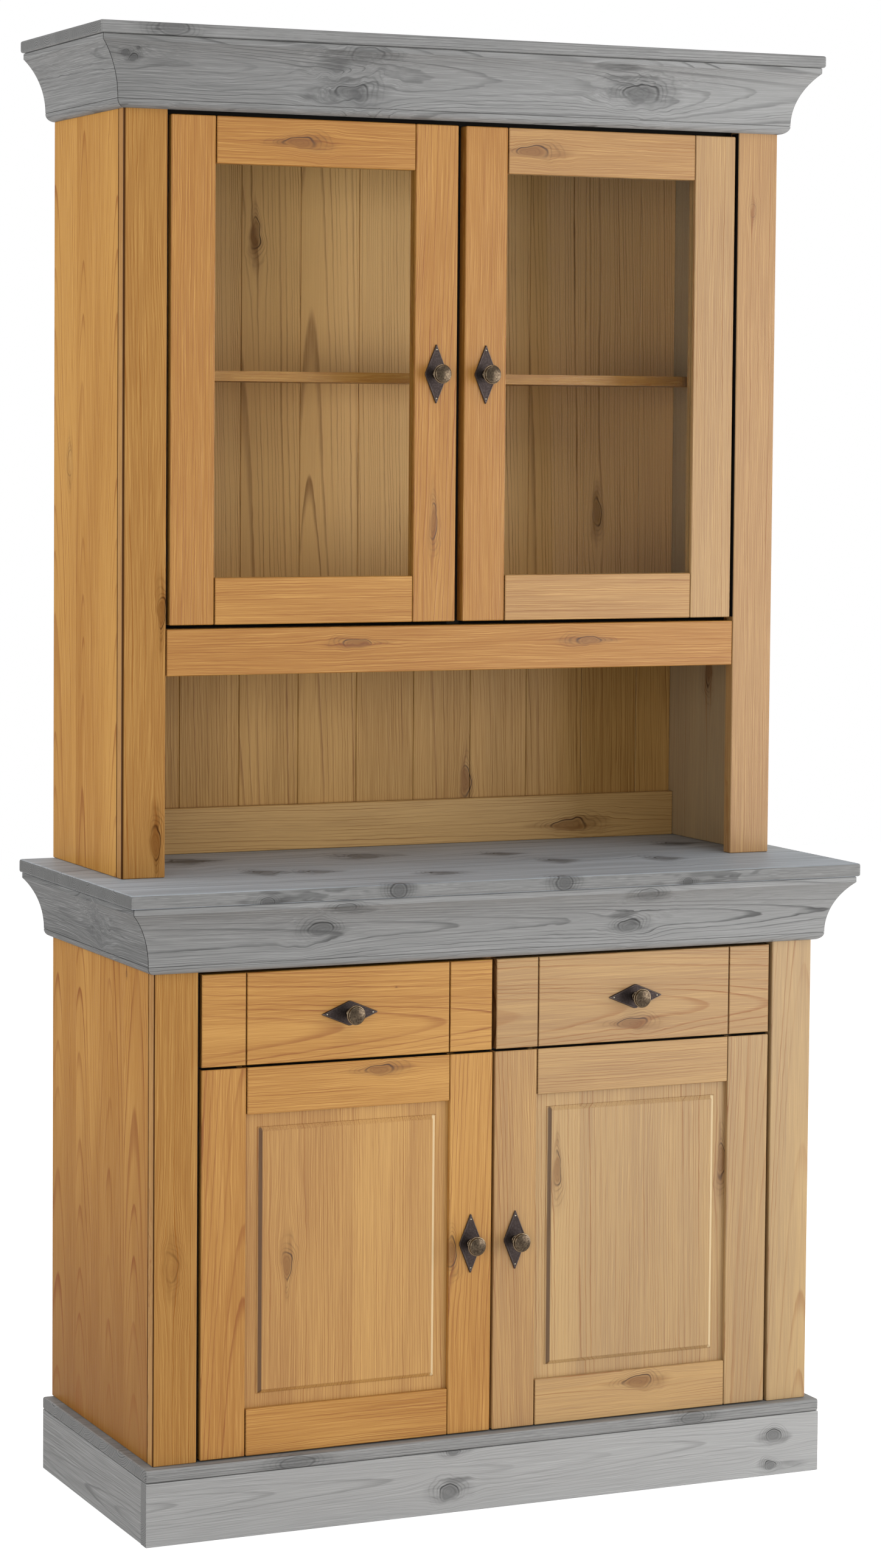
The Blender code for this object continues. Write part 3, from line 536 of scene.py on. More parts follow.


# The lower doors: a frame of 64 mm stiles and rails round a raised panel, tenoned and glued, waxed.
# The panel floats in grooves. Its staves run upright, and each stile and rail has its own figure.
# The right door's boards carry a pale painted sheen.
FRAME_TIMBER = {
    "lower_door_left_hinge_stile": dict(ring=0.0058, pith=(0.03, 0.05), cone=0.035, wave=0.016),
    "lower_door_left_meeting_stile": dict(ring=0.0049, pith=(0.05, 0.04), cone=0.024, wave=0.014,
                                          knots=[(0.3574, -0.0618, 0.021, 0.007, 0.2)]),
    "lower_door_left_top_rail": dict(ring=0.0033, pith=(-0.09, 0.03), cone=0.006,
                                     knots=[(-0.1740, 0.6185, 0.023, 0.007, -0.3)]),
    "lower_door_left_bottom_rail": dict(ring=0.0038, pith=(0.08, 0.03), cone=0.006, tone=0.2),
    "lower_door_right_hinge_stile": dict(ring=0.0052, wash=0.25, pith=(0.04, 0.04), cone=0.028,
                                         wave=0.014),
    "lower_door_right_meeting_stile": dict(ring=0.0030, wash=0.16, pith=(-0.05, 0.04), cone=0.026,
                                           wave=0.014),
    "lower_door_right_top_rail": dict(ring=0.0033, wash=0.2, pith=(0.10, 0.02), cone=0.004, tone=-0.1),
    "lower_door_right_bottom_rail": dict(ring=0.0035, wash=0.2, pith=(-0.08, 0.03), cone=0.006,
                                         knots=[(0.2265, 0.1515, 0.022, 0.009, -0.3)]),
}
JOINT_SHADOW = {"left": 0.0015, "right": 0.0008}
# The CAD leaves this much beside a rail's shoulder, and what lies this near it is the rail's end.
SHOULDER_GAP, SHOULDER_REACH = 0.0003, 0.0012
# Vertices this near each other are one.
MERGED = 0.00002


def fit_rail(node, body, stiles, timber):
    """A rail between its stiles: its shoulders stand off by the line of shadow that the photo shows."""
    left_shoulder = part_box(stiles[0])[1].x + SHOULDER_GAP
    right_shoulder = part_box(stiles[1])[0].x - SHOULDER_GAP
    bm = bmesh.new()
    bm.from_mesh(nodes[node].data)
    bmesh.ops.remove_doubles(bm, verts=bm.verts, dist=MERGED)
    for vert in bm.verts:
        if abs(vert.co.x - left_shoulder) < SHOULDER_REACH:
            vert.co.x += JOINT_SHADOW["left"]
        elif abs(vert.co.x - right_shoulder) < SHOULDER_REACH:
            vert.co.x -= JOINT_SHADOW["right"]
    finish = pine(f"{node}_pine", HONEY_WAX, "xzy", middle_of(node), **timber)
    piece = finish_piece(f"{node}_fitted", bm, finish, body)
    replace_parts(piece, node)


def frame_door(door, body, timbers):
    """Dress the stiles of one door and fit its two rails between them."""
    stiles = [f"{door}_hinge_stile", f"{door}_meeting_stile"]
    for node in stiles:
        dress(node, HONEY_WAX, "zxy", **timbers[node])
    if "right" in door:
        stiles.reverse()
    for rail in ("top_rail", "bottom_rail"):
        fit_rail(f"{door}_{rail}", body, stiles, timbers[f"{door}_{rail}"])


# The lower doors' top edges are painted black: painted shade, so that the gap under the drawers reads as
# a dark line.
for node, timber in FRAME_TIMBER.items():
    if "bottom" not in node:
        timber["blacked"] = "top"
frame_door("lower_door_left", "lower_left_door", FRAME_TIMBER)
frame_door("lower_door_right", "lower_right_door", FRAME_TIMBER)

GROOVED_IN, PANEL_MARGIN, PANEL_BEVEL, PANEL_TONGUE = 0.009, 0.0185, 0.0062, 0.0058
# Both panels carry a pale painted sheen, the right one most.
PANEL_TIMBER = {
    "lower_door_left_panel": dict(ring=0.0039, wash=0.08, staves=(0.0825, -0.3735), cone=0.010,
                                  knots=[(0.3591, -0.3059, 0.021, 0.007, -0.4)]),
    "lower_door_right_panel": dict(ring=0.0042, wash=0.25, staves=(0.0800, 0.0550), cone=0.012,
                                   tone=-0.12, knots=[(0.4618, 0.0995, 0.026, 0.006, 0.3),
                                                      (0.4563, 0.3608, 0.026, 0.007, 0.3)]),
}
# Two upright lines down a panel's bevels, painted shade on the left and a painted highlight on the
# right: how deep behind the field, how wide, and how dark or pale.
BEVEL_DEPTH, LEFT_BEVEL_SHADE, RIGHT_BEVEL_HIGHLIGHT = 0.0015, (0.0036, 0.8), (0.0034, -0.6)


def skin(bm, rings):
    """Faces between each ring of vertices and the next, and over the first and the last."""
    for before, after in zip(rings, rings[1:]):
        for i in range(len(before)):
            j = (i + 1) % len(before)
            bm.faces.new((before[i], before[j], after[j], after[i]))
    bm.faces.new(rings[0])
    bm.faces.new(rings[-1])
    return bm


def raised_panel(low, high):
    """A panel whose four edges are milled down: a tongue, a flat margin, a bevel and the field."""
    margin_y, bevel_foot = high.y - PANEL_TONGUE, GROOVED_IN + PANEL_MARGIN
    # The cutter leaves a small step at the bevel's foot, and its upper edge is sanded soft.
    step_in, step_up, soft_in, soft_down = 0.0004, 0.0008, 0.0006, 0.0003
    levels = ((0.0, high.y), (0.0, margin_y), (bevel_foot, margin_y),
              (bevel_foot + step_in, margin_y - step_up),
              (bevel_foot + PANEL_BEVEL - soft_in, low.y + soft_down),
              (bevel_foot + PANEL_BEVEL, low.y))
    bm = bmesh.new()
    rings = []
    for inset, y in levels:
        left, right, foot, top = low.x + inset, high.x - inset, low.z + inset, high.z - inset
        rings.append([bm.verts.new((x, y, z)) for x, z in ((left, foot), (right, foot), (right, top),
                                                           (left, top))])
    return skin(bm, rings)


for node, timber in PANEL_TIMBER.items():
    low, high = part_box(node)
    # Painted shade along the bevel on the left, and a painted highlight down the one on the right.
    inset = GROOVED_IN + PANEL_MARGIN + PANEL_BEVEL * 0.65
    bevels = [(low.x + inset, low.y + BEVEL_DEPTH, *LEFT_BEVEL_SHADE),
              (high.x - inset, low.y + BEVEL_DEPTH, *RIGHT_BEVEL_HIGHLIGHT)]
    finish = pine(f"{node}_pine", HONEY_WAX, "zxy", middle_of(node), joints=bevels, **timber)
    piece = finish_piece(f"{node}_raised", raised_panel(low, high), finish,
                         "lower_left_door" if "left" in node else "lower_right_door")
    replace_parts(piece, node)


# The drawer fronts: 20 mm pine with the grain across, cut with two upright vee grooves that carry on
# the lines of the door stiles below. Waxed like the doors.
VEE_LINE, VEE_HALF, VEE_DEPTH, KERF_HALF, KERF_DEPTH = 0.0640, 0.0014, 0.0013, 0.0007, 0.0050
ARRIS = 0.0010
# The right drawer front carries a pale painted sheen.
DRAWER_TIMBER = {
    "left": dict(ring=0.0049, pith=(-0.02, 0.055), cone=0.030, wave=0.016,
                 knots=[(-0.1481, 0.7302, 0.0012, 0.0009, 0.0, 1.0, 1.0)]),
    "right": dict(ring=0.0052, wash=0.20, pith=(-0.02, 0.060), cone=0.028, wave=0.016, tone=0.3,
                  knots=[(0.2130, 0.6605, 0.022, 0.008, -0.3)]),
}


def grooved_front(low, high):
    """A drawer front with eased edges, and two vee grooves with a fine saw kerf at their foot."""
    front, rear = low.y, high.y
    face = [(low.x, ARRIS), (low.x + ARRIS, 0.0)]
    for x in (low.x + VEE_LINE, high.x - VEE_LINE):
        face += [(x - VEE_HALF, 0.0), (x - KERF_HALF, VEE_DEPTH), (x - KERF_HALF, KERF_DEPTH),
                 (x + KERF_HALF, KERF_DEPTH), (x + KERF_HALF, VEE_DEPTH), (x + VEE_HALF, 0.0)]
    face += [(high.x - ARRIS, 0.0), (high.x, ARRIS)]
    bm = bmesh.new()
    levels = []
    for z, back_off in ((low.z, ARRIS), (low.z + ARRIS, 0.0), (high.z - ARRIS, 0.0), (high.z, ARRIS)):
        ring = [bm.verts.new((x, front + max(depth, back_off), z)) for x, depth in face]
        ring += [bm.verts.new((high.x, rear, z)), bm.verts.new((low.x, rear, z))]
        levels.append(ring)
    skin(bm, levels)
    bmesh.ops.remove_doubles(bm, verts=bm.verts, dist=MERGED)
    return bm


for hand, timber in DRAWER_TIMBER.items():
    node = f"drawer_{hand}_front"
    finish = pine(f"{node}_pine", HONEY_WAX, "xzy", middle_of(node), **timber)
    piece = finish_piece(f"{node}_grooved", grooved_front(*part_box(node)), finish, f"{hand}_drawer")
    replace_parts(piece, node)


# The drawer boxes: 12 mm pine sides, front and back locked with comb joints at the corners, and a
# 6 mm bottom let in flush below. Bare inside but for one thin coat of wax.
BOX_WALL = 0.012
COMB_FINGER = 0.010
BOX_BOTTOM = 0.006
FINE_EDGE = 0.0004


def comb_board(low, high, axis, first):
    """A board whose two ends are cut into square fingers; axis is its length, first starts a finger."""
    length, thick = axis, 1 - axis
    count = round((high[2] - low[2]) / COMB_FINGER)
    step = (high[2] - low[2]) / count
    ends = []
    for near, inward in ((low[length], BOX_WALL), (high[length], -BOX_WALL)):
        ends.append([(near + (0 if (i + first) % 2 == 0 else inward + math.copysign(JOINT_GAP, inward)),
                      low[2] + step * (i + rise)) for i in range(count) for rise in (0, 1)])
    outline = ends[1] + ends[0][::-1]
    bm = bmesh.new()
    layers = []
    for depth in (low[thick], high[thick]):
        ring = []
        for along, up in outline:
            place = [0.0, 0.0, up]
            place[length], place[thick] = along, depth
            ring.append(bm.verts.new(place))
        layers.append(ring)
    skin(bm, layers)
    bmesh.ops.remove_doubles(bm, verts=bm.verts, dist=MERGED)
    return bm


for hand in ("left", "right"):
    low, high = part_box(f"drawer_{hand}_box")
    wall = Vector((BOX_WALL, BOX_WALL, 0))
    boards = {
        "side_outer": (low, Vector((low.x + BOX_WALL, high.y, high.z)), 1, 0, "yzx"),
        "side_inner": (Vector((high.x - BOX_WALL, low.y, low.z)), high, 1, 0, "yzx"),
        "box_front": (low, Vector((high.x, low.y + BOX_WALL, high.z)), 0, 1, "xzy"),
        "box_back": (Vector((low.x, high.y - BOX_WALL, low.z)), high, 0, 1, "xzy"),
    }
    for part, (start, end, axis, first, grain) in boards.items():
        name = f"drawer_{hand}_{part}"
        finish = pine(f"{name}_pine", THIN_WAX, grain, tuple((start + end) / 2), ring=0.0041)
        piece = finish_piece(name, comb_board(start, end, axis, first), finish, f"{hand}_drawer")
        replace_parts(piece, f"drawer_{hand}_box")
    start = low + wall + Vector((JOINT_GAP, JOINT_GAP, 0))
    end = Vector((high.x, high.y, low.z + BOX_BOTTOM)) - wall - Vector((JOINT_GAP, JOINT_GAP, 0))
    name = f"drawer_{hand}_bottom"
    finish = pine(f"{name}_pine", THIN_WAX, "xyz", tuple((start + end) / 2), ring=0.006,
                  pith=(0.0, 0.05), cone=0.05, wave=0.03, tone=-0.2)
    piece = finish_piece(name, planed_block(start, end, FINE_EDGE), finish, f"{hand}_drawer")
    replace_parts(piece, f"drawer_{hand}_box")


# The apron: a moulding run under the worktop on three sides, cut from thick pine to a fillet, a hollow
# cove and a small ovolo, mitred at the front corners, glued to the base and stained grey.
BODY_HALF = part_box("base_side_right")[1].x
MOULDING = {"height": 0.0933, "reach": 0.046, "fillet": 0.008, "waist": 0.0137, "ovolo": 0.012}
QUIRK = 0.0011
COVE_STEPS, OVOLO_STEPS = 28, 12
MITRE_GAP = 0.0006
# The middle of a length's timber lies this far out from the body, or in from the front length's nose.
TIMBER_CORE = 0.02


def moulding_section():
    """The section as (reach, depth below the top), from the back of the fillet to the ovolo's foot."""
    height, reach, fillet, waist, ovolo = MOULDING.values()
    cove_foot = height - ovolo
    run, fall = reach - waist, cove_foot - fillet
    radius = (run ** 2 + fall ** 2) / (2 * run)
    sweep = math.asin(fall / radius)
    back, nose = 0.0003, 0.0012
    points = [(back, 0.0), (reach - nose, 0.0), (reach, nose)]
    for step in range(COVE_STEPS + 1):
        angle = sweep * (1 - step / COVE_STEPS)
        points.append((waist + radius * (1 - math.cos(angle)), cove_foot - radius * math.sin(angle)))
    points.append((waist - QUIRK, cove_foot + QUIRK * 0.4))
    for step in range(OVOLO_STEPS + 1):
        angle = math.pi / 2 * step / OVOLO_STEPS
        points.append((back + (waist - back) * math.cos(angle),
                       cove_foot + QUIRK + (ovolo - QUIRK) * math.sin(angle)))
    return points


def moulding_length(side, top, front, rear):
    """One length as a bmesh: side -1 or +1 is a return along the body, 0 the front with two mitres."""
    bm = bmesh.new()
    rings = []
    for station in (0, 1):
        ring = []
        for reach, depth in moulding_section():
            if side == 0:
                place = ((2 * station - 1) * (BODY_HALF + reach - MITRE_GAP), front - reach, top - depth)
            else:
                y = rear if station else front - reach + MITRE_GAP
                place = (side * (BODY_HALF + reach), y, top - depth)
            ring.append(bm.verts.new(place))
        rings.append(ring)
    return skin(bm, rings)


def shade_smooth(piece, degrees):
    """Smooth shading with every edge sharper than the angle left crisp."""
    piece.data.shade_smooth()
    piece.data.set_sharp_from_angle(angle=math.radians(degrees))


# The cornice took more of the stain than the apron. The apron's left length is darker still: painted
# shade, for the shade under the worktop's overhang.
DARK_GREY_STAIN = {**GREY_STAIN, "early": "7C7C7B", "warm": "6C6C6B"}
SHADED_RETURN_GREY_STAIN = {**GREY_STAIN, "early": "5C5C5B", "warm": "525251", "late": "2F2F2F"}


def run_moulding(node, stain_here, timber):
    """The three lengths of a moulding in place of its CAD node."""
    low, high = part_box(node)
    front = low.y + MOULDING["reach"]
    for side, part in ((0, "front"), (-1, "left"), (1, "right")):
        name = f"{node}_{part}"
        middle = (side * (BODY_HALF + TIMBER_CORE),
                  low.y + TIMBER_CORE if side == 0 else (low.y + high.y) / 2, (low.z + high.z) / 2)
        stain = SHADED_RETURN_GREY_STAIN if name == "apron_moulding_left" else stain_here
        finish = pine(f"{name}_pine", stain, "xzy" if side == 0 else "yzx", middle, **timber[part])
        piece = finish_piece(name, moulding_length(side, high.z, front, high.y), finish, "carcass")
        shade_smooth(piece, 30)
        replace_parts(piece, node)


# Its front length carries a pale painted sheen that grows towards the right.
run_moulding("apron_moulding", GREY_STAIN, {
    "front": dict(ring=0.0035, pith=(0.02, 0.05), cone=0.020, wave=0.030, tone=0.45, wash=0.15,
                  wash_from=("x", -0.5, 0.5),
                  knots=[(-0.2700, 0.8175, 0.017, 0.011, 0.2, 1.0, 0.8),
                         (-0.2424, 0.8480, 0.016, 0.006, 0.0, 0.7, 0.9),
                         (-0.2200, 0.8450, 0.010, 0.004, 0.0, 0.0, 0.9),
                         (0.2151, 0.8460, 0.016, 0.009, 0.0, 0.6, 0.9),
                         (0.1975, 0.8010, 0.016, 0.010, -0.2, 1.0, 0.8),
                         (0.1850, 0.8130, 0.010, 0.007, 0.0, 0.0, 0.9)]),
    "left": dict(ring=0.0038, pith=(0.02, 0.04), cone=0.030, wave=0.026, tone=1.0,
                 knots=[(-0.0450, 0.8400, 0.010, 0.014, 0.0, 0.5, 1.0),
                        (-0.0180, 0.8180, 0.009, 0.013, 0.0, 0.5, 1.0),
                        (0.0020, 0.7980, 0.018, 0.013, 0.2, 0.6, 0.9)]),
    "right": dict(ring=0.0038, pith=(-0.03, 0.04), cone=0.020, wave=0.020),
})


# The worktop: edge-glued pine, 18.5 mm thick, its edges rounded over, stained grey. The stain gathers
# in the knots, and arcs of growth rings show on the sawn ends.
# The top is painted paler and cooler than the edges: painted light that cancels the warm light the
# honey wood bounces onto it. The stain was wiped across it in streaks.
WORKTOP_STAIN = {**GREY_STAIN, "top": "BAC3CC"}
WORKTOP_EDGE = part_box("worktop")[0].y
dress("worktop", WORKTOP_STAIN, "xyz", gloss=0.12, ring=0.0030, cone=0.006, wave=0.003,
      staves=(0.058, -0.2305), pith=(0.0, 0.02), tone=0.2,
      knots=[(-0.3575, WORKTOP_EDGE, 0.010, 0.010, 0.0, 1.0, 0.8, 0.8605, 0.007),
             (-0.1673, WORKTOP_EDGE, 0.013, 0.016, 0.0, 1.0, 0.8, 0.8690, 0.011),
             (0.0806, WORKTOP_EDGE, 0.014, 0.018, 0.0, 1.0, 0.8, 0.8690, 0.011),
             (0.2728, WORKTOP_EDGE, 0.008, 0.012, 0.0, 1.0, 0.8, 0.8620, 0.006)]
            + [(x, y, length, width, 0.3, 0.8, 1.0) for x, y, length, width in
               ((-0.3372, 0.1157, 0.024, 0.030), (-0.2837, -0.0469, 0.016, 0.026),
                (-0.0739, 0.0926, 0.026, 0.026), (0.1641, -0.0528, 0.014, 0.022),
                (0.3202, -0.0789, 0.014, 0.026), (-0.0542, -0.1335, 0.020, 0.018),
                (0.1237, 0.0499, 0.014, 0.020), (-0.2100, -0.0600, 0.018, 0.016),
                (-0.4600, 0.0300, 0.018, 0.020), (0.4300, 0.0900, 0.018, 0.020))])


# The hutch's side boards and front posts, made as the base's are, of pine stained honey and waxed.
# The left post is from a stem with bolder figure, and has two bark-edged knots by its inner edge.
HUTCH_JOINT = (OUTER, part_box("hutch_side_left")[0].y, 0.0018, 0.95)
dress("hutch_side_left", HONEY_WAX, "zyx", ring=0.0054, staves=(0.094, -0.053), tone=-0.1,
      knots=[(1.4352, 0.1616, 0.020, 0.010, 0.0, 0.5, 0.5)], joints=[HUTCH_JOINT], **SIDE_TIMBER)
# The right side and both posts carry a pale painted sheen, the right-hand ones most.
dress("hutch_side_right", HONEY_WAX, "zyx", gloss=0.10, wash=0.4, ring=0.0048, staves=(0.090, -0.053),
      cone=0.012, knots=[(1.1341, 0.0975, 0.026, 0.009, 0.3)])
dress("hutch_pilaster_left", HONEY_WAX, "zxy", gloss=0.03, wash=0.08, ring=0.0038, pith=(-0.05, 0.03),
      cone=0.016, wave=0.018, tone=0.75,
      knots=[(1.2367, -0.4436, 0.024, 0.006, -0.3), (0.9236, -0.4502, 0.024, 0.007, -0.3)],
      # The second line is painted shade down the post's front left corner.
      joints=[HUTCH_JOINT, (OUTER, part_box("hutch_pilaster_left")[0].y, 0.0034, 0.95)])
dress("hutch_pilaster_right", HONEY_WAX, "zxy", ring=0.0033, wash=0.15, tone=0.35, pith=(0.11, 0.01),
      cone=0.003, knots=[(1.8028, 0.4590, 0.010, 0.006, 0.0, 0.4, 0.5)])


# The hutch's back: 92 mm tongued and vee-grooved boards, upright, with a rail across their foot.
# Each board comes from its own stem, so the figure changes at every groove.
# Paler than the fronts' wax: partly the boards' own colour, partly painted light on the shaded inside.
BACK_WAX = {**HONEY_WAX, "early": "B38B50", "warm": "A17B43", "late": "704214", "pale": "C29C5E",
            "gloss": 0.2}
# The boards inside the cupboard, above the niche, are painted paler and warmer on their front faces:
# painted light, for the light that comes in through the glass.
LIT_BEHIND_GLASS_STAIN = {**BACK_WAX, "washed": "F4C080"}
BOARD_PITCH, FIRST_GROOVE, WHOLE_BOARDS = 0.092, -0.405, 9
BOARD_ARRIS = 0.0008
# The painted light starts between these heights, behind the edge of the cupboard's floor.
PAINTED_LIGHT_LINE = (1.203, 1.207)


def even_row():
    """Geometry nodes: a straight row of one like part, a fixed step apart, in one finish."""
    tree = bpy.data.node_groups.new("even_row", "GeometryNodeTree")
    for label, kind in (("Part", "Object"), ("Start", "Vector"), ("Step", "Vector"), ("Count", "Int"),
                        ("Finish", "Material")):
        tree.interface.new_socket(label, in_out="INPUT", socket_type=f"NodeSocket{kind}")
    tree.interface.new_socket("Geometry", in_out="OUTPUT", socket_type="NodeSocketGeometry")
    given = tree.nodes.new("NodeGroupInput").outputs
    part = add_node(tree, "GeometryNodeObjectInfo", {"Object": given["Part"]})
    line = add_node(tree, "GeometryNodeMeshLine", {"Count": given["Count"],
                                                   "Start Location": given["Start"],
                                                   "Offset": given["Step"]}, mode="OFFSET")
    parts = add_node(tree, "GeometryNodeInstanceOnPoints",
                     {"Points": line, "Instance": part.outputs["Geometry"]})
    real = add_node(tree, "GeometryNodeRealizeInstances", {"Geometry": parts})
    painted = add_node(tree, "GeometryNodeSetMaterial", {"Geometry": real, "Material": given["Finish"]})
    tree.links.new(painted.outputs[0], tree.nodes.new("NodeGroupOutput").inputs[0])
    return tree


EVEN_ROW = even_row()


def part_to_repeat(name, bm):
    """A helper object for even_row, deleted once its row is made."""
    return put_in_scene(name, made_mesh(name, bm))


def lay_row(name, part, start, step, count, finish, body):
    """A row of like parts as a plain mesh piece on its body."""
    holder = put_in_scene(f"{name}_row", bpy.data.meshes.new(f"{name}_row"))
    row = holder.modifiers.new("row", "NODES")
    row.node_group = EVEN_ROW
    values = {"Part": part, "Start": start, "Step": step, "Count": count, "Finish": finish}
    for item in EVEN_ROW.interface.items_tree:
        if item.item_type == "SOCKET" and item.in_out == "INPUT":
            row[item.identifier] = values[item.name]
    graph = bpy.context.evaluated_depsgraph_get()
    mesh = bpy.data.meshes.new_from_object(holder.evaluated_get(graph))
    bpy.data.objects.remove(holder, do_unlink=True)
    mesh.name = name
    piece = put_in_scene(name, mesh)
    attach(piece, body)
    return piece


back_low, back_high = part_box("hutch_back")
back_pine = pine("back_board_pine", LIT_BEHIND_GLASS_STAIN, "zxy", tuple((back_low + back_high) / 2), ring=0.0046,
                 staves=(BOARD_PITCH, FIRST_GROOVE), cone=0.018, wave=0.014, tone=0.1, wash=0.5,
                 wash_from=("z", *PAINTED_LIGHT_LINE, "front"),
                 knots=[(1.7643, -0.2003, 0.022, 0.008, 0.3), (0.9687, 0.1406, 0.022, 0.008, 0.2),
                        (1.3653, 0.3527, 0.022, 0.008, 0.2)])
half_gap = JOINT_GAP / 2
TONGUE_HALF, TONGUE_LONG, GROOVE_HALF, GROOVE_DEEP = 0.0018, 0.0048, 0.0021, 0.0055


def tongued_board(left, right, groove=True, tongue=True):
    """A back board between two edges: a groove in its left edge and a tongue on its right one."""
    front, rear = back_low.y, back_high.y
    middle = (front + rear) / 2
    outline = [(left, front + BOARD_ARRIS), (left + BOARD_ARRIS, front), (right - BOARD_ARRIS, front),
               (right, front + BOARD_ARRIS)]
    if tongue:
        outline += [(right, middle - TONGUE_HALF), (right + TONGUE_LONG, middle - TONGUE_HALF),
                    (right + TONGUE_LONG, middle + TONGUE_HALF), (right, middle + TONGUE_HALF)]
    outline += [(right, rear - BOARD_ARRIS), (right - BOARD_ARRIS, rear), (left + BOARD_ARRIS, rear),
                (left, rear - BOARD_ARRIS)]
    if groove:
        outline += [(left, middle + GROOVE_HALF), (left + GROOVE_DEEP, middle + GROOVE_HALF),
                    (left + GROOVE_DEEP, middle - GROOVE_HALF), (left, middle - GROOVE_HALF)]
    bm = bmesh.new()
    return skin(bm, [[bm.verts.new((x, y, z)) for x, y in outline] for z in (back_low.z, back_high.z)])


whole_board = part_to_repeat("whole_board", tongued_board(half_gap, BOARD_PITCH - half_gap))
row = lay_row("back_boards", whole_board, (FIRST_GROOVE, 0.0, 0.0), (BOARD_PITCH, 0.0, 0.0),
              WHOLE_BOARDS, back_pine, "carcass")
bpy.data.objects.remove(whole_board, do_unlink=True)
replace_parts(row, "hutch_back")
last_groove = FIRST_GROOVE + BOARD_PITCH * WHOLE_BOARDS
end_boards = {"back_board_left_end": tongued_board(back_low.x, FIRST_GROOVE - half_gap, groove=False),
              "back_board_right_end": tongued_board(last_groove + half_gap, back_high.x, tongue=False)}
for name, board in end_boards.items():
    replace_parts(finish_piece(name, board, back_pine, "carcass"), "hutch_back")
# The rail carries a little pale painted sheen.
dress("hutch_back_rail", BACK_WAX, "xzy", tone=-0.4, wash=0.1, ring=0.0041, pith=(-0.08, 0.05),
      cone=0.008, wave=0.012, knots=[(0.3068, 0.8976, 0.030, 0.010, -0.3)])


# The rail over the niche, the cupboard's floor behind it and the one shelf: waxed pine, the grain
# across. The shelf's front corners are rounded, and its ends are housed in the sides.
fit_rail("hutch_cross_rail", "carcass", ("hutch_pilaster_left", "hutch_pilaster_right"),
         dict(ring=0.0035, pith=(-0.07, 0.03), cone=0.006, wave=0.014, tone=0.4,
              knots=[(-0.1524, 1.1908, 0.022, 0.006, 0.3), (0.2043, 1.1889, 0.022, 0.006, 0.3)]))
dress("hutch_floor", HONEY_WAX, "xyz", ring=0.0030, staves=(0.085, -0.04))
dress("hutch_shelf", HONEY_WAX, "xyz", ring=0.0046, pith=(0.08, 0.02), tone=1.0)


# The upper doors: the same frames of waxed pine as below, tenoned and glued, each round one clear pane
# of 4 mm glass that sits in grooves. There are no glazing bars.
# The right door's boards carry a little pale painted sheen.
GLAZED_TIMBER = {
    "upper_door_left_hinge_stile": dict(ring=0.0035, pith=(0.10, 0.02), cone=0.004, tone=0.6),
    "upper_door_left_meeting_stile": dict(ring=0.0041, tone=0.25, pith=(0.05, 0.04), cone=0.016,
                                          wave=0.016, knots=[(1.3580, -0.0404, 0.024, 0.006, 0.2)]),
    "upper_door_left_top_rail": dict(ring=0.0033, tone=0.9, pith=(-0.08, 0.03), cone=0.006,
                                     knots=[(-0.2443, 1.8742, 0.025, 0.008, -0.3)]),
    "upper_door_left_bottom_rail": dict(ring=0.0033, tone=0.5, pith=(0.09, 0.03), cone=0.006),
    "upper_door_right_hinge_stile": dict(ring=0.0035, wash=0.2, pith=(-0.10, 0.02), cone=0.005,
                                         tone=-0.05),
    "upper_door_right_meeting_stile": dict(ring=0.0033, pith=(0.11, 0.01), cone=0.003, tone=0.1),
    "upper_door_right_top_rail": dict(wash=0.12, ring=0.0033, pith=(0.10, 0.03), cone=0.006, tone=0.2,
                                      knots=[(0.1066, 1.8740, 0.026, 0.008, -0.3)]),
    "upper_door_right_bottom_rail": dict(ring=0.0033, wash=0.12, pith=(-0.09, 0.03), cone=0.006,
                                         tone=0.3),
}
frame_door("upper_door_left", "upper_left_door", GLAZED_TIMBER)
frame_door("upper_door_right", "upper_right_door", GLAZED_TIMBER)

# Float glass: clear, with the faint green of its iron. The panes reflect next to nothing in the
# photograph, so the IOR is matched to that. Lamp and diffuse rays go straight through, so that the
# cupboard behind is lit as through real glass and not left black.
float_glass, tree, pane = new_finish("clear_float_glass", Base_Color=linear_rgba("FAFCFB"), Roughness=0.0,
                                     IOR=1.2, Transmission_Weight=1.0,
                                     Specular_Tint=linear_rgba("4A4A4A"))
ray = add_node(tree, "ShaderNodeLightPath")
passing = add_node(tree, MATH, [ray.outputs["Is Shadow Ray"], ray.outputs["Is Diffuse Ray"]], "MAXIMUM")
open_way = add_node(tree, "ShaderNodeBsdfTransparent", {"Color": linear_rgba("F8FAF9")})
through = add_node(tree, "ShaderNodeMixShader", [passing, pane, open_way])
tree.links.new(through.outputs[0], tree.nodes["Material Output"].inputs["Surface"])
for hand in ("left", "right"):
    mesh = nodes[f"upper_door_{hand}_glass"].data
    mesh.materials.clear()
    mesh.materials.append(float_glass)


# Stops and strips of painted shade: black-stained battens behind the upper doors that they close
# against, and black felt, 1.5 mm thick, glued to the posts' inner edges. Their black is painted shade
# for the shade deep in every gap.
shade_felt, tree, felt = new_finish("black_shade_felt", Specular_IOR_Level=0.05, Roughness=1.0)
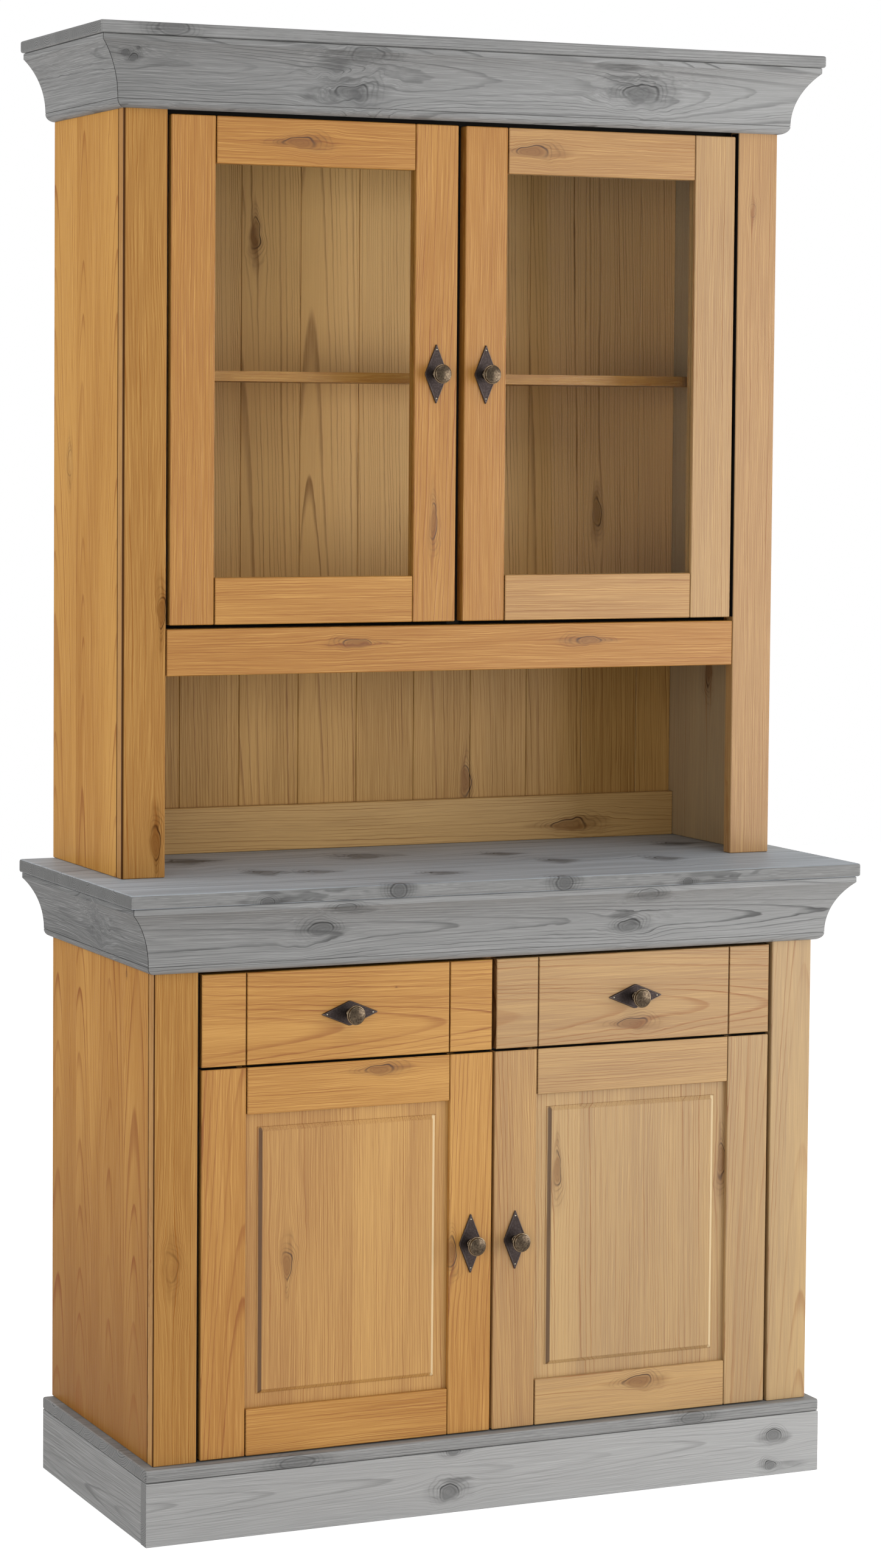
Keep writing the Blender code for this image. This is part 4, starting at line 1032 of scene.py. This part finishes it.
# Tufts of wool some 0.7 mm across.
where = add_node(tree, "ShaderNodeTexCoord").outputs["Object"]
fluff = add_node(tree, NOISE, {"Vector": where, "Scale": 1400.0, "Detail": 2.0})
shade = add_node(tree, "ShaderNodeMix", {0: fluff, 6: linear_rgba("050505"), 7: linear_rgba("141312")},
                 data_type="RGBA")
tree.links.new(shade.outputs[2], felt.inputs["Base Color"])
bump = add_node(tree, "ShaderNodeBump", {"Strength": 0.6, "Distance": 0.0003, "Height": fluff})
tree.links.new(bump.outputs[0], felt.inputs["Normal"])
GAP_SHADE_STAIN = {"early": "1B1917", "warm": "171513", "late": "0D0C0B", "end": "0D0C0B",
               "knot": "0B0A09", "rim": "080706", "pale": "221F1C", "line": 0.5, "rough": (0.6, 0.75),
               "gloss": 0.1, "fibre": 0.3}
FELT, FELT_INSET = 0.0015, 0.0012
# The stops: half their length, their lap below the doors' top edge and rise above it, and how far
# behind the doors they start and end.
STOP_HALF, STOP_LAP, STOP_RISE, STOP_FRONT, STOP_REAR = 0.4355, 0.0110, 0.0700, 0.0005, 0.0125
CENTRE_HALF, STOP_GAP = 0.0100, 0.0003
top_of_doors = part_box("upper_door_left_top_rail")[1].z
door_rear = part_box("upper_door_left_top_rail")[1].y
floor_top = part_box("hutch_floor")[1].z
STOPS = {
    "top_stop": ((-STOP_HALF, door_rear + STOP_FRONT, top_of_doors - STOP_LAP),
                 (STOP_HALF, door_rear + STOP_REAR, top_of_doors + STOP_RISE), "xzy"),
    "centre_stop": ((-CENTRE_HALF, door_rear + STOP_FRONT, floor_top + STOP_GAP),
                    (CENTRE_HALF, door_rear + STOP_REAR, top_of_doors - STOP_LAP - STOP_GAP), "zxy"),
}
for name, (low, high, grain) in STOPS.items():
    finish = pine(f"{name}_stained_pine", GAP_SHADE_STAIN, grain, tuple((Vector(low) + Vector(high)) / 2))
    finish_piece(name, planed_block(low, high), finish, "carcass")
# Where a strip goes, the post that it is glued to, and the heights of its two ends.
STRIPS = (("upper_left", "hutch", 1.2200, 1.9115), ("upper_right", "hutch", 1.2200, 1.9115),
          ("lower_left", "base", 0.1045, 0.7640))
for place, part, foot, top in STRIPS:
    hand = place.split("_")[1]
    side = -1 if hand == "left" else 1
    post_low, post_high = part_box(f"{part}_pilaster_{hand}")
    edge = post_high.x if side < 0 else post_low.x
    across = sorted((edge, edge - side * FELT))
    strip = planed_block((across[0], post_low.y + FELT_INSET, foot),
                         (across[1], post_high.y - FELT_INSET, top), FINE_EDGE)
    finish_piece(f"{place}_dust_strip", strip, shade_felt, "carcass")
# The strip along the doors' foot: half its length, and its place behind them and over the floor.
FOOT_HALF, FOOT_FRONT, FOOT_REAR, FOOT_LIFT, FOOT_RISE = 0.4330, 0.0006, 0.0030, 0.0002, 0.0050
foot_strip = planed_block((-FOOT_HALF, door_rear + FOOT_FRONT, floor_top + FOOT_LIFT),
                          (FOOT_HALF, door_rear + FOOT_REAR, floor_top + FOOT_RISE), FINE_EDGE)
finish_piece("foot_dust_strip", foot_strip, shade_felt, "carcass")


# The cornice: the same moulding as the apron, run round the top of the hutch. Its front length has
# bold swirls where three whorls of branches grew.
# Its front length carries a pale painted sheen that grows towards the right.
run_moulding("cornice_moulding", DARK_GREY_STAIN, {
    "front": dict(ring=0.0038, pith=(0.03, 0.045), cone=0.040, wave=0.034, tone=0.85, wash=0.27,
                  wash_from=("x", -0.5, 0.5),
                  knots=[(-0.5082, 1.9816, 0.0055, 0.0045, 0.0, 1.0, 1.0),
                         (-0.4929, 1.9871, 0.0026, 0.0024, 0.0, 1.0, 1.0),
                         (-0.4961, 1.9774, 0.0060, 0.0055, 0.0, 1.0, 1.0),
                         (-0.1600, 1.9920, 0.026, 0.010, 0.2, 0.6, 0.7),
                         (-0.2060, 1.9860, 0.012, 0.011, 0.0, 0.0, 1.0),
                         (-0.1940, 1.9650, 0.014, 0.006, 0.0, 0.0, 0.9),
                         (-0.1740, 1.9440, 0.024, 0.014, -0.3, 1.0, 0.8),
                         (-0.2180, 1.9400, 0.014, 0.008, 0.0, 0.0, 1.0),
                         (-0.2040, 1.9540, 0.010, 0.009, 0.0, 0.0, 0.9),
                         (0.2220, 1.9940, 0.016, 0.006, 0.0, 0.0, 1.0),
                         (0.2440, 1.9810, 0.018, 0.005, 0.0, 0.0, 0.9),
                         (0.2660, 1.9590, 0.026, 0.014, -0.2, 1.0, 0.8),
                         (0.2300, 1.9660, 0.010, 0.010, 0.0, 0.0, 0.9)]),
    "left": dict(ring=0.0029, pith=(0.07, 0.05), cone=0.010, wave=0.012, tone=0.5),
    "right": dict(ring=0.0038, pith=(-0.05, 0.05), cone=0.020, wave=0.020),
})


# The top board: edge-glued pine laid over the cornice, its edges rounded over, stained grey like the
# worktop. Two knots at its left end drank the stain and came out dark.
TOP_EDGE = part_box("top_board")[0].y
dress("top_board", GREY_STAIN, "xyz", ring=0.0030, cone=0.006, wave=0.003,
      staves=(0.062, -0.103), pith=(0.0, 0.02),
      knots=[(-0.4480, TOP_EDGE, 0.024, 0.030, 0.3, 0.8, 0.9, 2.0160, 0.010),
             (-0.4640, TOP_EDGE, 0.008, 0.020, 0.0, 0.0, 0.9, 2.0110, 0.008)])


# The knobs: turned brass mushrooms on diamond plates of cut sheet with a chamfered, raised edge.
# Aged brass: a brown patina all over, rubbed back to warm metal where fingers touch it. The plates
# are blacker and duller, and two small nails of bare brass hold each.
KNOB_TURNS = 64
PLATE = {"half_length": 0.04225, "half_width": 0.0175, "thick": 0.0025, "field": 0.0020}


def aged_metal(name, dark, bright, rough, wear_and_painted_light):
    """Patinated metal: a mottled dark film, worn through where the mesh's wear attribute is high."""
    material, tree, shader = new_finish(name, Metallic=1.0)
    # The film is mottled over some 2 mm, and the metal under it is grained at 0.4 mm.
    where = add_node(tree, "ShaderNodeTexCoord").outputs["Object"]
    mottle = add_node(tree, NOISE, {"Vector": where, "Scale": 420.0, "Detail": 3.0})
    fine = add_node(tree, NOISE, {"Vector": where, "Scale": 2600.0, "Detail": 1.0})
    wear = add_node(tree, "ShaderNodeAttribute", attribute_name="wear").outputs["Fac"]
    bare = add_node(tree, MATH, [wear, wear_and_painted_light, mottle], "MULTIPLY_ADD")
    bare = add_node(tree, RANGE, [bare, 0.42, 1.15, 0.0, 1.0])
    colour = add_node(tree, "ShaderNodeMix", {0: bare, 6: linear_rgba(dark), 7: linear_rgba(bright)},
                      data_type="RGBA")
    tree.links.new(colour.outputs[2], shader.inputs["Base Color"])
    low, high = rough
    film = add_node(tree, RANGE, [bare, 0.0, 1.0, high, low])
    tree.links.new(film.outputs[0], shader.inputs["Roughness"])
    bump = add_node(tree, "ShaderNodeBump", {"Strength": 0.35, "Distance": 0.00006, "Height": fine})
    tree.links.new(bump.outputs[0], shader.inputs["Normal"])
    return material


AGED_BRASS = aged_metal("aged_brass", "302720", "6C5F4D", (0.16, 0.28), 0.62)
BLACKENED_PLATE = aged_metal("blackened_brass_sheet", "342D2B", "514947", (0.34, 0.48), 0.42)
NAIL_BRASS = aged_metal("bare_brass_nail", "8C8473", "CFC9BA", (0.22, 0.32), 1.0)


def lathe_turns(count):
    """Evenly spaced steps round a full turn, each as its cosine and sine."""
    return [(math.cos(2 * math.pi * i / count), math.sin(2 * math.pi * i / count))
            for i in range(count)]


def knob_profile():
    """The turned outline as (radius, reach from the plate's back, wear), from the face inwards."""
    reach, face, crown, rounding = 0.0275, 0.0100, 0.0012, 0.0022
    edge = reach - crown - rounding
    outline = [(face * step / 6, reach - crown * (step / 6) ** 2, 0.2) for step in range(7)]
    for step in range(1, 9):
        angle = math.radians(12 + 78 * step / 8)
        outline.append((face + rounding * math.sin(angle), edge + rounding * math.cos(angle),
                        0.2 + 0.8 * step / 8))
    # A fine groove parts the face from the bead round the rim, which hands have rubbed bright.
    groove, rim, bead = face + rounding - 0.0004, 0.0135, 0.0011
    outline += [(groove, edge - 0.0004, 0.0), (groove, edge - 0.0010, 0.0)]
    for step in range(9):
        angle = math.pi * step / 8
        outline.append((rim - bead + bead * math.sin(angle), edge - 2 * bead + bead * math.cos(angle),
                        1.0))
    # Behind the rim it is hollowed down to a neck, and a small collar meets the plate.
    back, neck, hollow_top, hollow = 0.0112, 0.0050, edge - 0.0035, 0.0109
    for step in range(1, 9):
        t = step / 8
        outline.append((back - (back - neck) * math.sin(t * math.pi / 2), hollow_top - hollow * t, 0.0))
    outline += [(neck, 0.0066, 0.0), (0.0056, 0.0050, 0.1), (0.0064, 0.0044, 0.4),
                (0.0066, 0.0036, 0.3), (0.0066, 0.0012, 0.0), (0.0, 0.0012, 0.0)]
    return outline


def worn_vert(bm, place, wear):
    """A vertex that carries its wear in the mesh's attribute."""
    vert = bm.verts.new(place)
    vert[bm.verts.layers.float["wear"]] = wear
    return vert


def turned_knob(centre):
    """The knob as a closed bmesh that stands out from centre towards -Y."""
    bm = bmesh.new()
    bm.verts.layers.float.new("wear")
    rings = []
    for radius, reach, wear in knob_profile():
        turns = lathe_turns(KNOB_TURNS if radius else 1)
        rings.append([worn_vert(bm, (centre.x + radius * cos, centre.y - reach,
                                     centre.z + radius * sin), wear) for cos, sin in turns])
    for before, after in zip(rings, rings[1:]):
        for i in range(KNOB_TURNS):
            j = (i + 1) % KNOB_TURNS
            corners = [before[i % len(before)], before[j % len(before)], after[j % len(after)],
                       after[i % len(after)]]
            bm.faces.new(list(dict.fromkeys(corners)))
    return bm


def diamond_plate(centre, upright):
    """The plate as a closed bmesh: a cut edge, a chamfer, a raised rim and a sunk field."""
    levels = ((1.0, 0.0, 0.1), (1.0, 0.0012, 0.9), (0.955, PLATE["thick"], 1.0),
              (0.895, PLATE["thick"], 0.5), (0.865, PLATE["field"], 0.0))
    blunt = 0.04
    bm = bmesh.new()
    bm.verts.layers.float.new("wear")
    rings = []
    for share, reach, wear in levels:
        ring = []
        for along, across in ((1, 0), (0, 1), (-1, 0), (0, -1)):
            for turn in (-1, 1):
                u = along * (1 - blunt) - across * turn * blunt
                v = across * (1 - blunt) + along * turn * blunt
                u, v = u * PLATE["half_length"] * share, v * PLATE["half_width"] * share
                x, z = (v, u) if upright else (u, v)
                ring.append(worn_vert(bm, (centre.x + x, centre.y - reach, centre.z + z), wear))
        rings.append(ring)
    return skin(bm, rings)


def domed_head(radius, rise, socket=0.0):
    """A fastener's head facing -Y, closed at the back; a screw's has a small socket sunk in it."""
    bm = bmesh.new()
    rings = []
    profile = [(radius, 0.0), (radius, rise * 0.4), (radius * 0.72, rise * 0.85), (radius * 0.38, rise)]
    if socket:
        profile += [(radius * 0.30, rise - socket)]
    for size, reach in profile:
        rings.append([bm.verts.new((size * cos, -reach, size * sin)) for cos, sin in lathe_turns(20)])
    return part_to_repeat("fastener_head", skin(bm, rings))


nail_head = domed_head(radius=0.0011, rise=0.0007)
KNOBS = [(f"{level}_door_{hand}_knob", f"{level}_{hand}_door", True)
         for level in ("upper", "lower") for hand in ("left", "right")]
KNOBS += [(f"drawer_{hand}_knob", f"{hand}_drawer", False) for hand in ("left", "right")]
NAIL_INSET, NAIL_SEAT = 0.0085, 0.0019
for node, body, upright in KNOBS:
    low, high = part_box(node)
    centre = Vector(((low.x + high.x) / 2, high.y, (low.z + high.z) / 2))
    turned = finish_piece(f"{node}_turning", turned_knob(centre), AGED_BRASS, body)
    shade_smooth(turned, 32)
    plate = finish_piece(f"{node}_plate", diamond_plate(centre, upright), BLACKENED_PLATE, body)
    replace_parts(turned, node)
    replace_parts(plate, node)
    reach = PLATE["half_length"] - NAIL_INSET
    along = Vector((0, 0, 1)) if upright else Vector((1, 0, 0))
    on_plate = centre + Vector((0, -NAIL_SEAT, 0))
    nails = lay_row(f"{node}_nails", nail_head, on_plate - along * reach, along * 2 * reach, 2,
                    NAIL_BRASS, body)
    shade_smooth(nails, 35)
bpy.data.objects.remove(nail_head, do_unlink=True)


# The hinges: sprung concealed hinges of nickel-plated steel. The wing plate and the arm are screwed to
# the post, and the cup is let into the back of the door's stile under a flange with two screws.
# Nickel plate gives a pale grey shine, dulled by a haze in patches of some 3 mm.
nickel, tree, plating = new_finish("nickel_plated_steel", Metallic=1.0)
where = add_node(tree, "ShaderNodeTexCoord").outputs["Object"]
haze = add_node(tree, NOISE, {"Vector": where, "Scale": 300.0, "Detail": 3.0})
shade = add_node(tree, "ShaderNodeMix", {0: haze, 6: linear_rgba("9C9B97"), 7: linear_rgba("C2C0BA")},
                 data_type="RGBA")
tree.links.new(shade.outputs[2], plating.inputs["Base Color"])
tree.links.new(add_node(tree, RANGE, [haze, 0.3, 0.7, 0.22, 0.36]).outputs[0],
               plating.inputs["Roughness"])

WING = {"reach": 0.036, "half_height": 0.025, "thick": 0.003, "edge": 0.0008, "screws_apart": 0.034}
ARM = {"inset": 0.004, "half_height": 0.009, "lift": 0.0018, "edge": 0.0026}
CUP = {"radius": 0.0175, "rim": 0.0010, "sunk": 0.0007, "from_edge": 0.0225}
# The rim's small outer round, and how far in its lip ends and the sunk floor starts.
CUP_ROUND, CUP_LIP, CUP_FLOOR = 0.0004, 0.0022, 0.0026
FLANGE = {"half_width": 0.006, "half_height": 0.026, "thick": 0.0008, "edge": 0.0003,
          "screws_apart": 0.0444}


def cup_and_flange(centre):
    """The cup's rim with its sunk floor, over the bar that its two screws hold, facing +Y."""
    half_width, half_height = FLANGE["half_width"], FLANGE["half_height"]
    bm = planed_block((centre.x - half_width, centre.y, centre.z - half_height),
                      (centre.x + half_width, centre.y + FLANGE["thick"], centre.z + half_height),
                      FLANGE["edge"])
    rings, radius, rim = [], CUP["radius"], CUP["rim"]
    for size, lift in ((radius, 0.0), (radius, rim * 0.7), (radius - CUP_ROUND, rim),
                       (radius - CUP_LIP, rim), (radius - CUP_FLOOR, rim - CUP["sunk"])):
        rings.append([bm.verts.new((centre.x + size * cos, centre.y + lift, centre.z + size * sin))
                      for cos, sin in lathe_turns(48)])
    return skin(bm, rings)


screw_head = domed_head(radius=0.0036, rise=0.0013, socket=0.0008)
small_screw = domed_head(radius=0.0026, rise=0.0007, socket=0.0005)
for head in (screw_head, small_screw):
    head.data.transform(Matrix.Rotation(math.pi, 4, "Z"))
for level in ("upper", "lower"):
    for hand, side in (("left", -1), ("right", 1)):
        door = f"{level}_{hand}_door"
        door_low, door_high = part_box(f"{level}_door_{hand}_hinge_stile")
        for end in ("bottom", "top"):
            node = f"hinge_{level}_{hand}_{end}"
            low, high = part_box(node)
            face, z = low.y, (low.z + high.z) / 2
            outer, inner = (low.x, high.x) if side < 0 else (high.x, low.x)
            wing = sorted((outer, outer - side * WING["reach"]))
            plate = planed_block((wing[0], face, z - WING["half_height"]),
                                 (wing[1], face + WING["thick"], z + WING["half_height"]), WING["edge"])
            arm = sorted((outer - side * ARM["inset"], inner))
            block = planed_block((arm[0], face + ARM["lift"], z - ARM["half_height"]),
                                 (arm[1], high.y, z + ARM["half_height"]), ARM["edge"])
            for name, bm in ((f"{node}_wing", plate), (f"{node}_arm", block)):
                piece = finish_piece(name, bm, nickel, "carcass")
                shade_smooth(piece, 40)
                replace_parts(piece, node)
            first = Vector(((wing[0] + wing[1]) / 2, face + WING["thick"], z - WING["screws_apart"] / 2))
            screws = lay_row(f"{node}_wing_screws", screw_head, first,
                             Vector((0, 0, WING["screws_apart"])), 2, nickel, "carcass")
            edge = door_low.x if side < 0 else door_high.x
            on_door = Vector((edge - side * CUP["from_edge"], door_high.y, z))
            cup = finish_piece(f"{node}_cup", cup_and_flange(on_door), nickel, door)
            first = on_door + Vector((0, FLANGE["thick"], -FLANGE["screws_apart"] / 2))
            pins = lay_row(f"{node}_cup_screws", small_screw, first,
                           Vector((0, 0, FLANGE["screws_apart"])), 2, nickel, door)
            for piece in (screws, cup, pins):
                shade_smooth(piece, 35)
for head in (screw_head, small_screw):
    bpy.data.objects.remove(head, do_unlink=True)


# The floor and the light: a pale studio sweep with a soft key lamp high on the right, a weaker fill on
# the left and an even white surround. White for the camera, and still taking the shadow.
FLOOR_SIZE, FLOOR_GAP = 14.0, 0.0004


def seen_by_eye(tree):
    """One for a ray from the camera, also by way of metal or glass, and nought for light on its way."""
    ray = add_node(tree, "ShaderNodeLightPath").outputs
    seen = add_node(tree, MATH, [ray["Is Camera Ray"], ray["Is Glossy Ray"]], "MAXIMUM")
    return add_node(tree, MATH, [seen, ray["Is Transmission Ray"]], "MAXIMUM")


floor_sheet = bmesh.new()
bmesh.ops.create_grid(floor_sheet, x_segments=1, y_segments=1, size=FLOOR_SIZE / 2)
floor = put_in_scene("studio_floor", made_mesh("studio_floor", floor_sheet))
floor.location = (0.0, 0.0, -FLOOR_GAP)
pale, tree, paint = new_finish("pale_studio_floor", Base_Color=linear_rgba("E6E6E6"), Roughness=0.9,
                               Specular_IOR_Level=0.0)
floor.data.materials.append(pale)
lift = add_node(tree, MATH, [seen_by_eye(tree), 0.66], "MULTIPLY")
glow = add_node(tree, "ShaderNodeEmission", {"Strength": lift})
both = add_node(tree, "ShaderNodeAddShader", [paint, glow])
tree.links.new(both.outputs[0], tree.nodes["Material Output"].inputs["Surface"])

world = bpy.data.worlds.new("white_surround")
bpy.context.scene.world = world
world.use_nodes = True
tree = world.node_tree
tree.nodes.clear()
ambient = add_node(tree, "ShaderNodeBackground", {"Color": (1.0, 1.0, 1.0, 1.0), "Strength": 0.47})
backdrop = add_node(tree, "ShaderNodeBackground", {"Color": (1.0, 1.0, 1.0, 1.0), "Strength": 1.0})
sky = add_node(tree, "ShaderNodeMixShader", [seen_by_eye(tree), ambient, backdrop])
tree.links.new(sky.outputs[0], add_node(tree, "ShaderNodeOutputWorld").inputs["Surface"])

LAMPS = {
    "key_lamp": {"place": (3.42, -3.18, 1.15), "aim": (0.0, -0.1, 0.85), "size": (3.3, 2.6),
                 "power": 137.0},
    "fill_lamp": {"place": (-3.3, -3.8, 1.30), "aim": (0.0, -0.1, 0.90), "size": (2.6, 2.6),
                  "power": 68.0},
    "top_lamp": {"place": (0.5, -3.2, 4.4), "aim": (0.0, -0.1, 1.0), "size": (2.4, 2.4),
                 "power": 44.0},
    "side_lamp": {"place": (-3.2, 0.5, 2.0), "aim": (-0.5, 0.05, 1.4), "size": (1.6, 1.6),
                  "power": 44.0},
    "edge_lamp": {"place": (3.5, -0.36, 1.0), "aim": (0.0, -0.2, 1.0), "size": (0.5, 2.2),
                  "power": 40.0},
}
for name, lamp in LAMPS.items():
    light = bpy.data.lights.new(name, "AREA")
    light.shape = "RECTANGLE"
    light.size, light.size_y = lamp["size"]
    light.energy = lamp["power"]
    holder = put_in_scene(name, light)
    holder.location = lamp["place"]
    towards = Vector(lamp["aim"]) - Vector(lamp["place"])
    holder.rotation_euler = towards.to_track_quat("-Z", "Y").to_euler()


# The camera: fitted by least squares to the photo's edges. It stands front left at eye height, looks
# 23 degrees to the right and 3.5 degrees down, and is rolled by 0.4 degree.
CAMERA_PLACE = (-2.25958, -4.89245, 1.49051)
YAW, PITCH, ROLL = 0.408886, -0.061885, 0.006865
IMAGE_WIDTH, IMAGE_HEIGHT = 1448, 2576
FOCAL_PIXELS, CENTRE_X, CENTRE_Y = 6289.27, 577.607, 1089.561
SENSOR = 36.0
ahead = Vector((math.sin(YAW) * math.cos(PITCH), math.cos(YAW) * math.cos(PITCH), math.sin(PITCH)))
level = Vector((math.cos(YAW), -math.sin(YAW), 0.0))
upward = level.cross(ahead)
right = math.cos(ROLL) * level + math.sin(ROLL) * upward
up = -math.sin(ROLL) * level + math.cos(ROLL) * upward
lens = bpy.data.cameras.new("photo_camera")
lens.sensor_width = SENSOR
lens.lens = FOCAL_PIXELS / IMAGE_HEIGHT * SENSOR
lens.shift_x = (IMAGE_WIDTH / 2 - CENTRE_X) / IMAGE_HEIGHT
lens.shift_y = (CENTRE_Y - IMAGE_HEIGHT / 2) / IMAGE_HEIGHT
camera = put_in_scene("photo_camera", lens)
camera.matrix_world = Matrix.Translation(CAMERA_PLACE) @ Matrix((right, up, -ahead)).transposed().to_4x4()
bpy.context.scene.camera = camera
bpy.context.scene.view_settings.view_transform = "Standard"
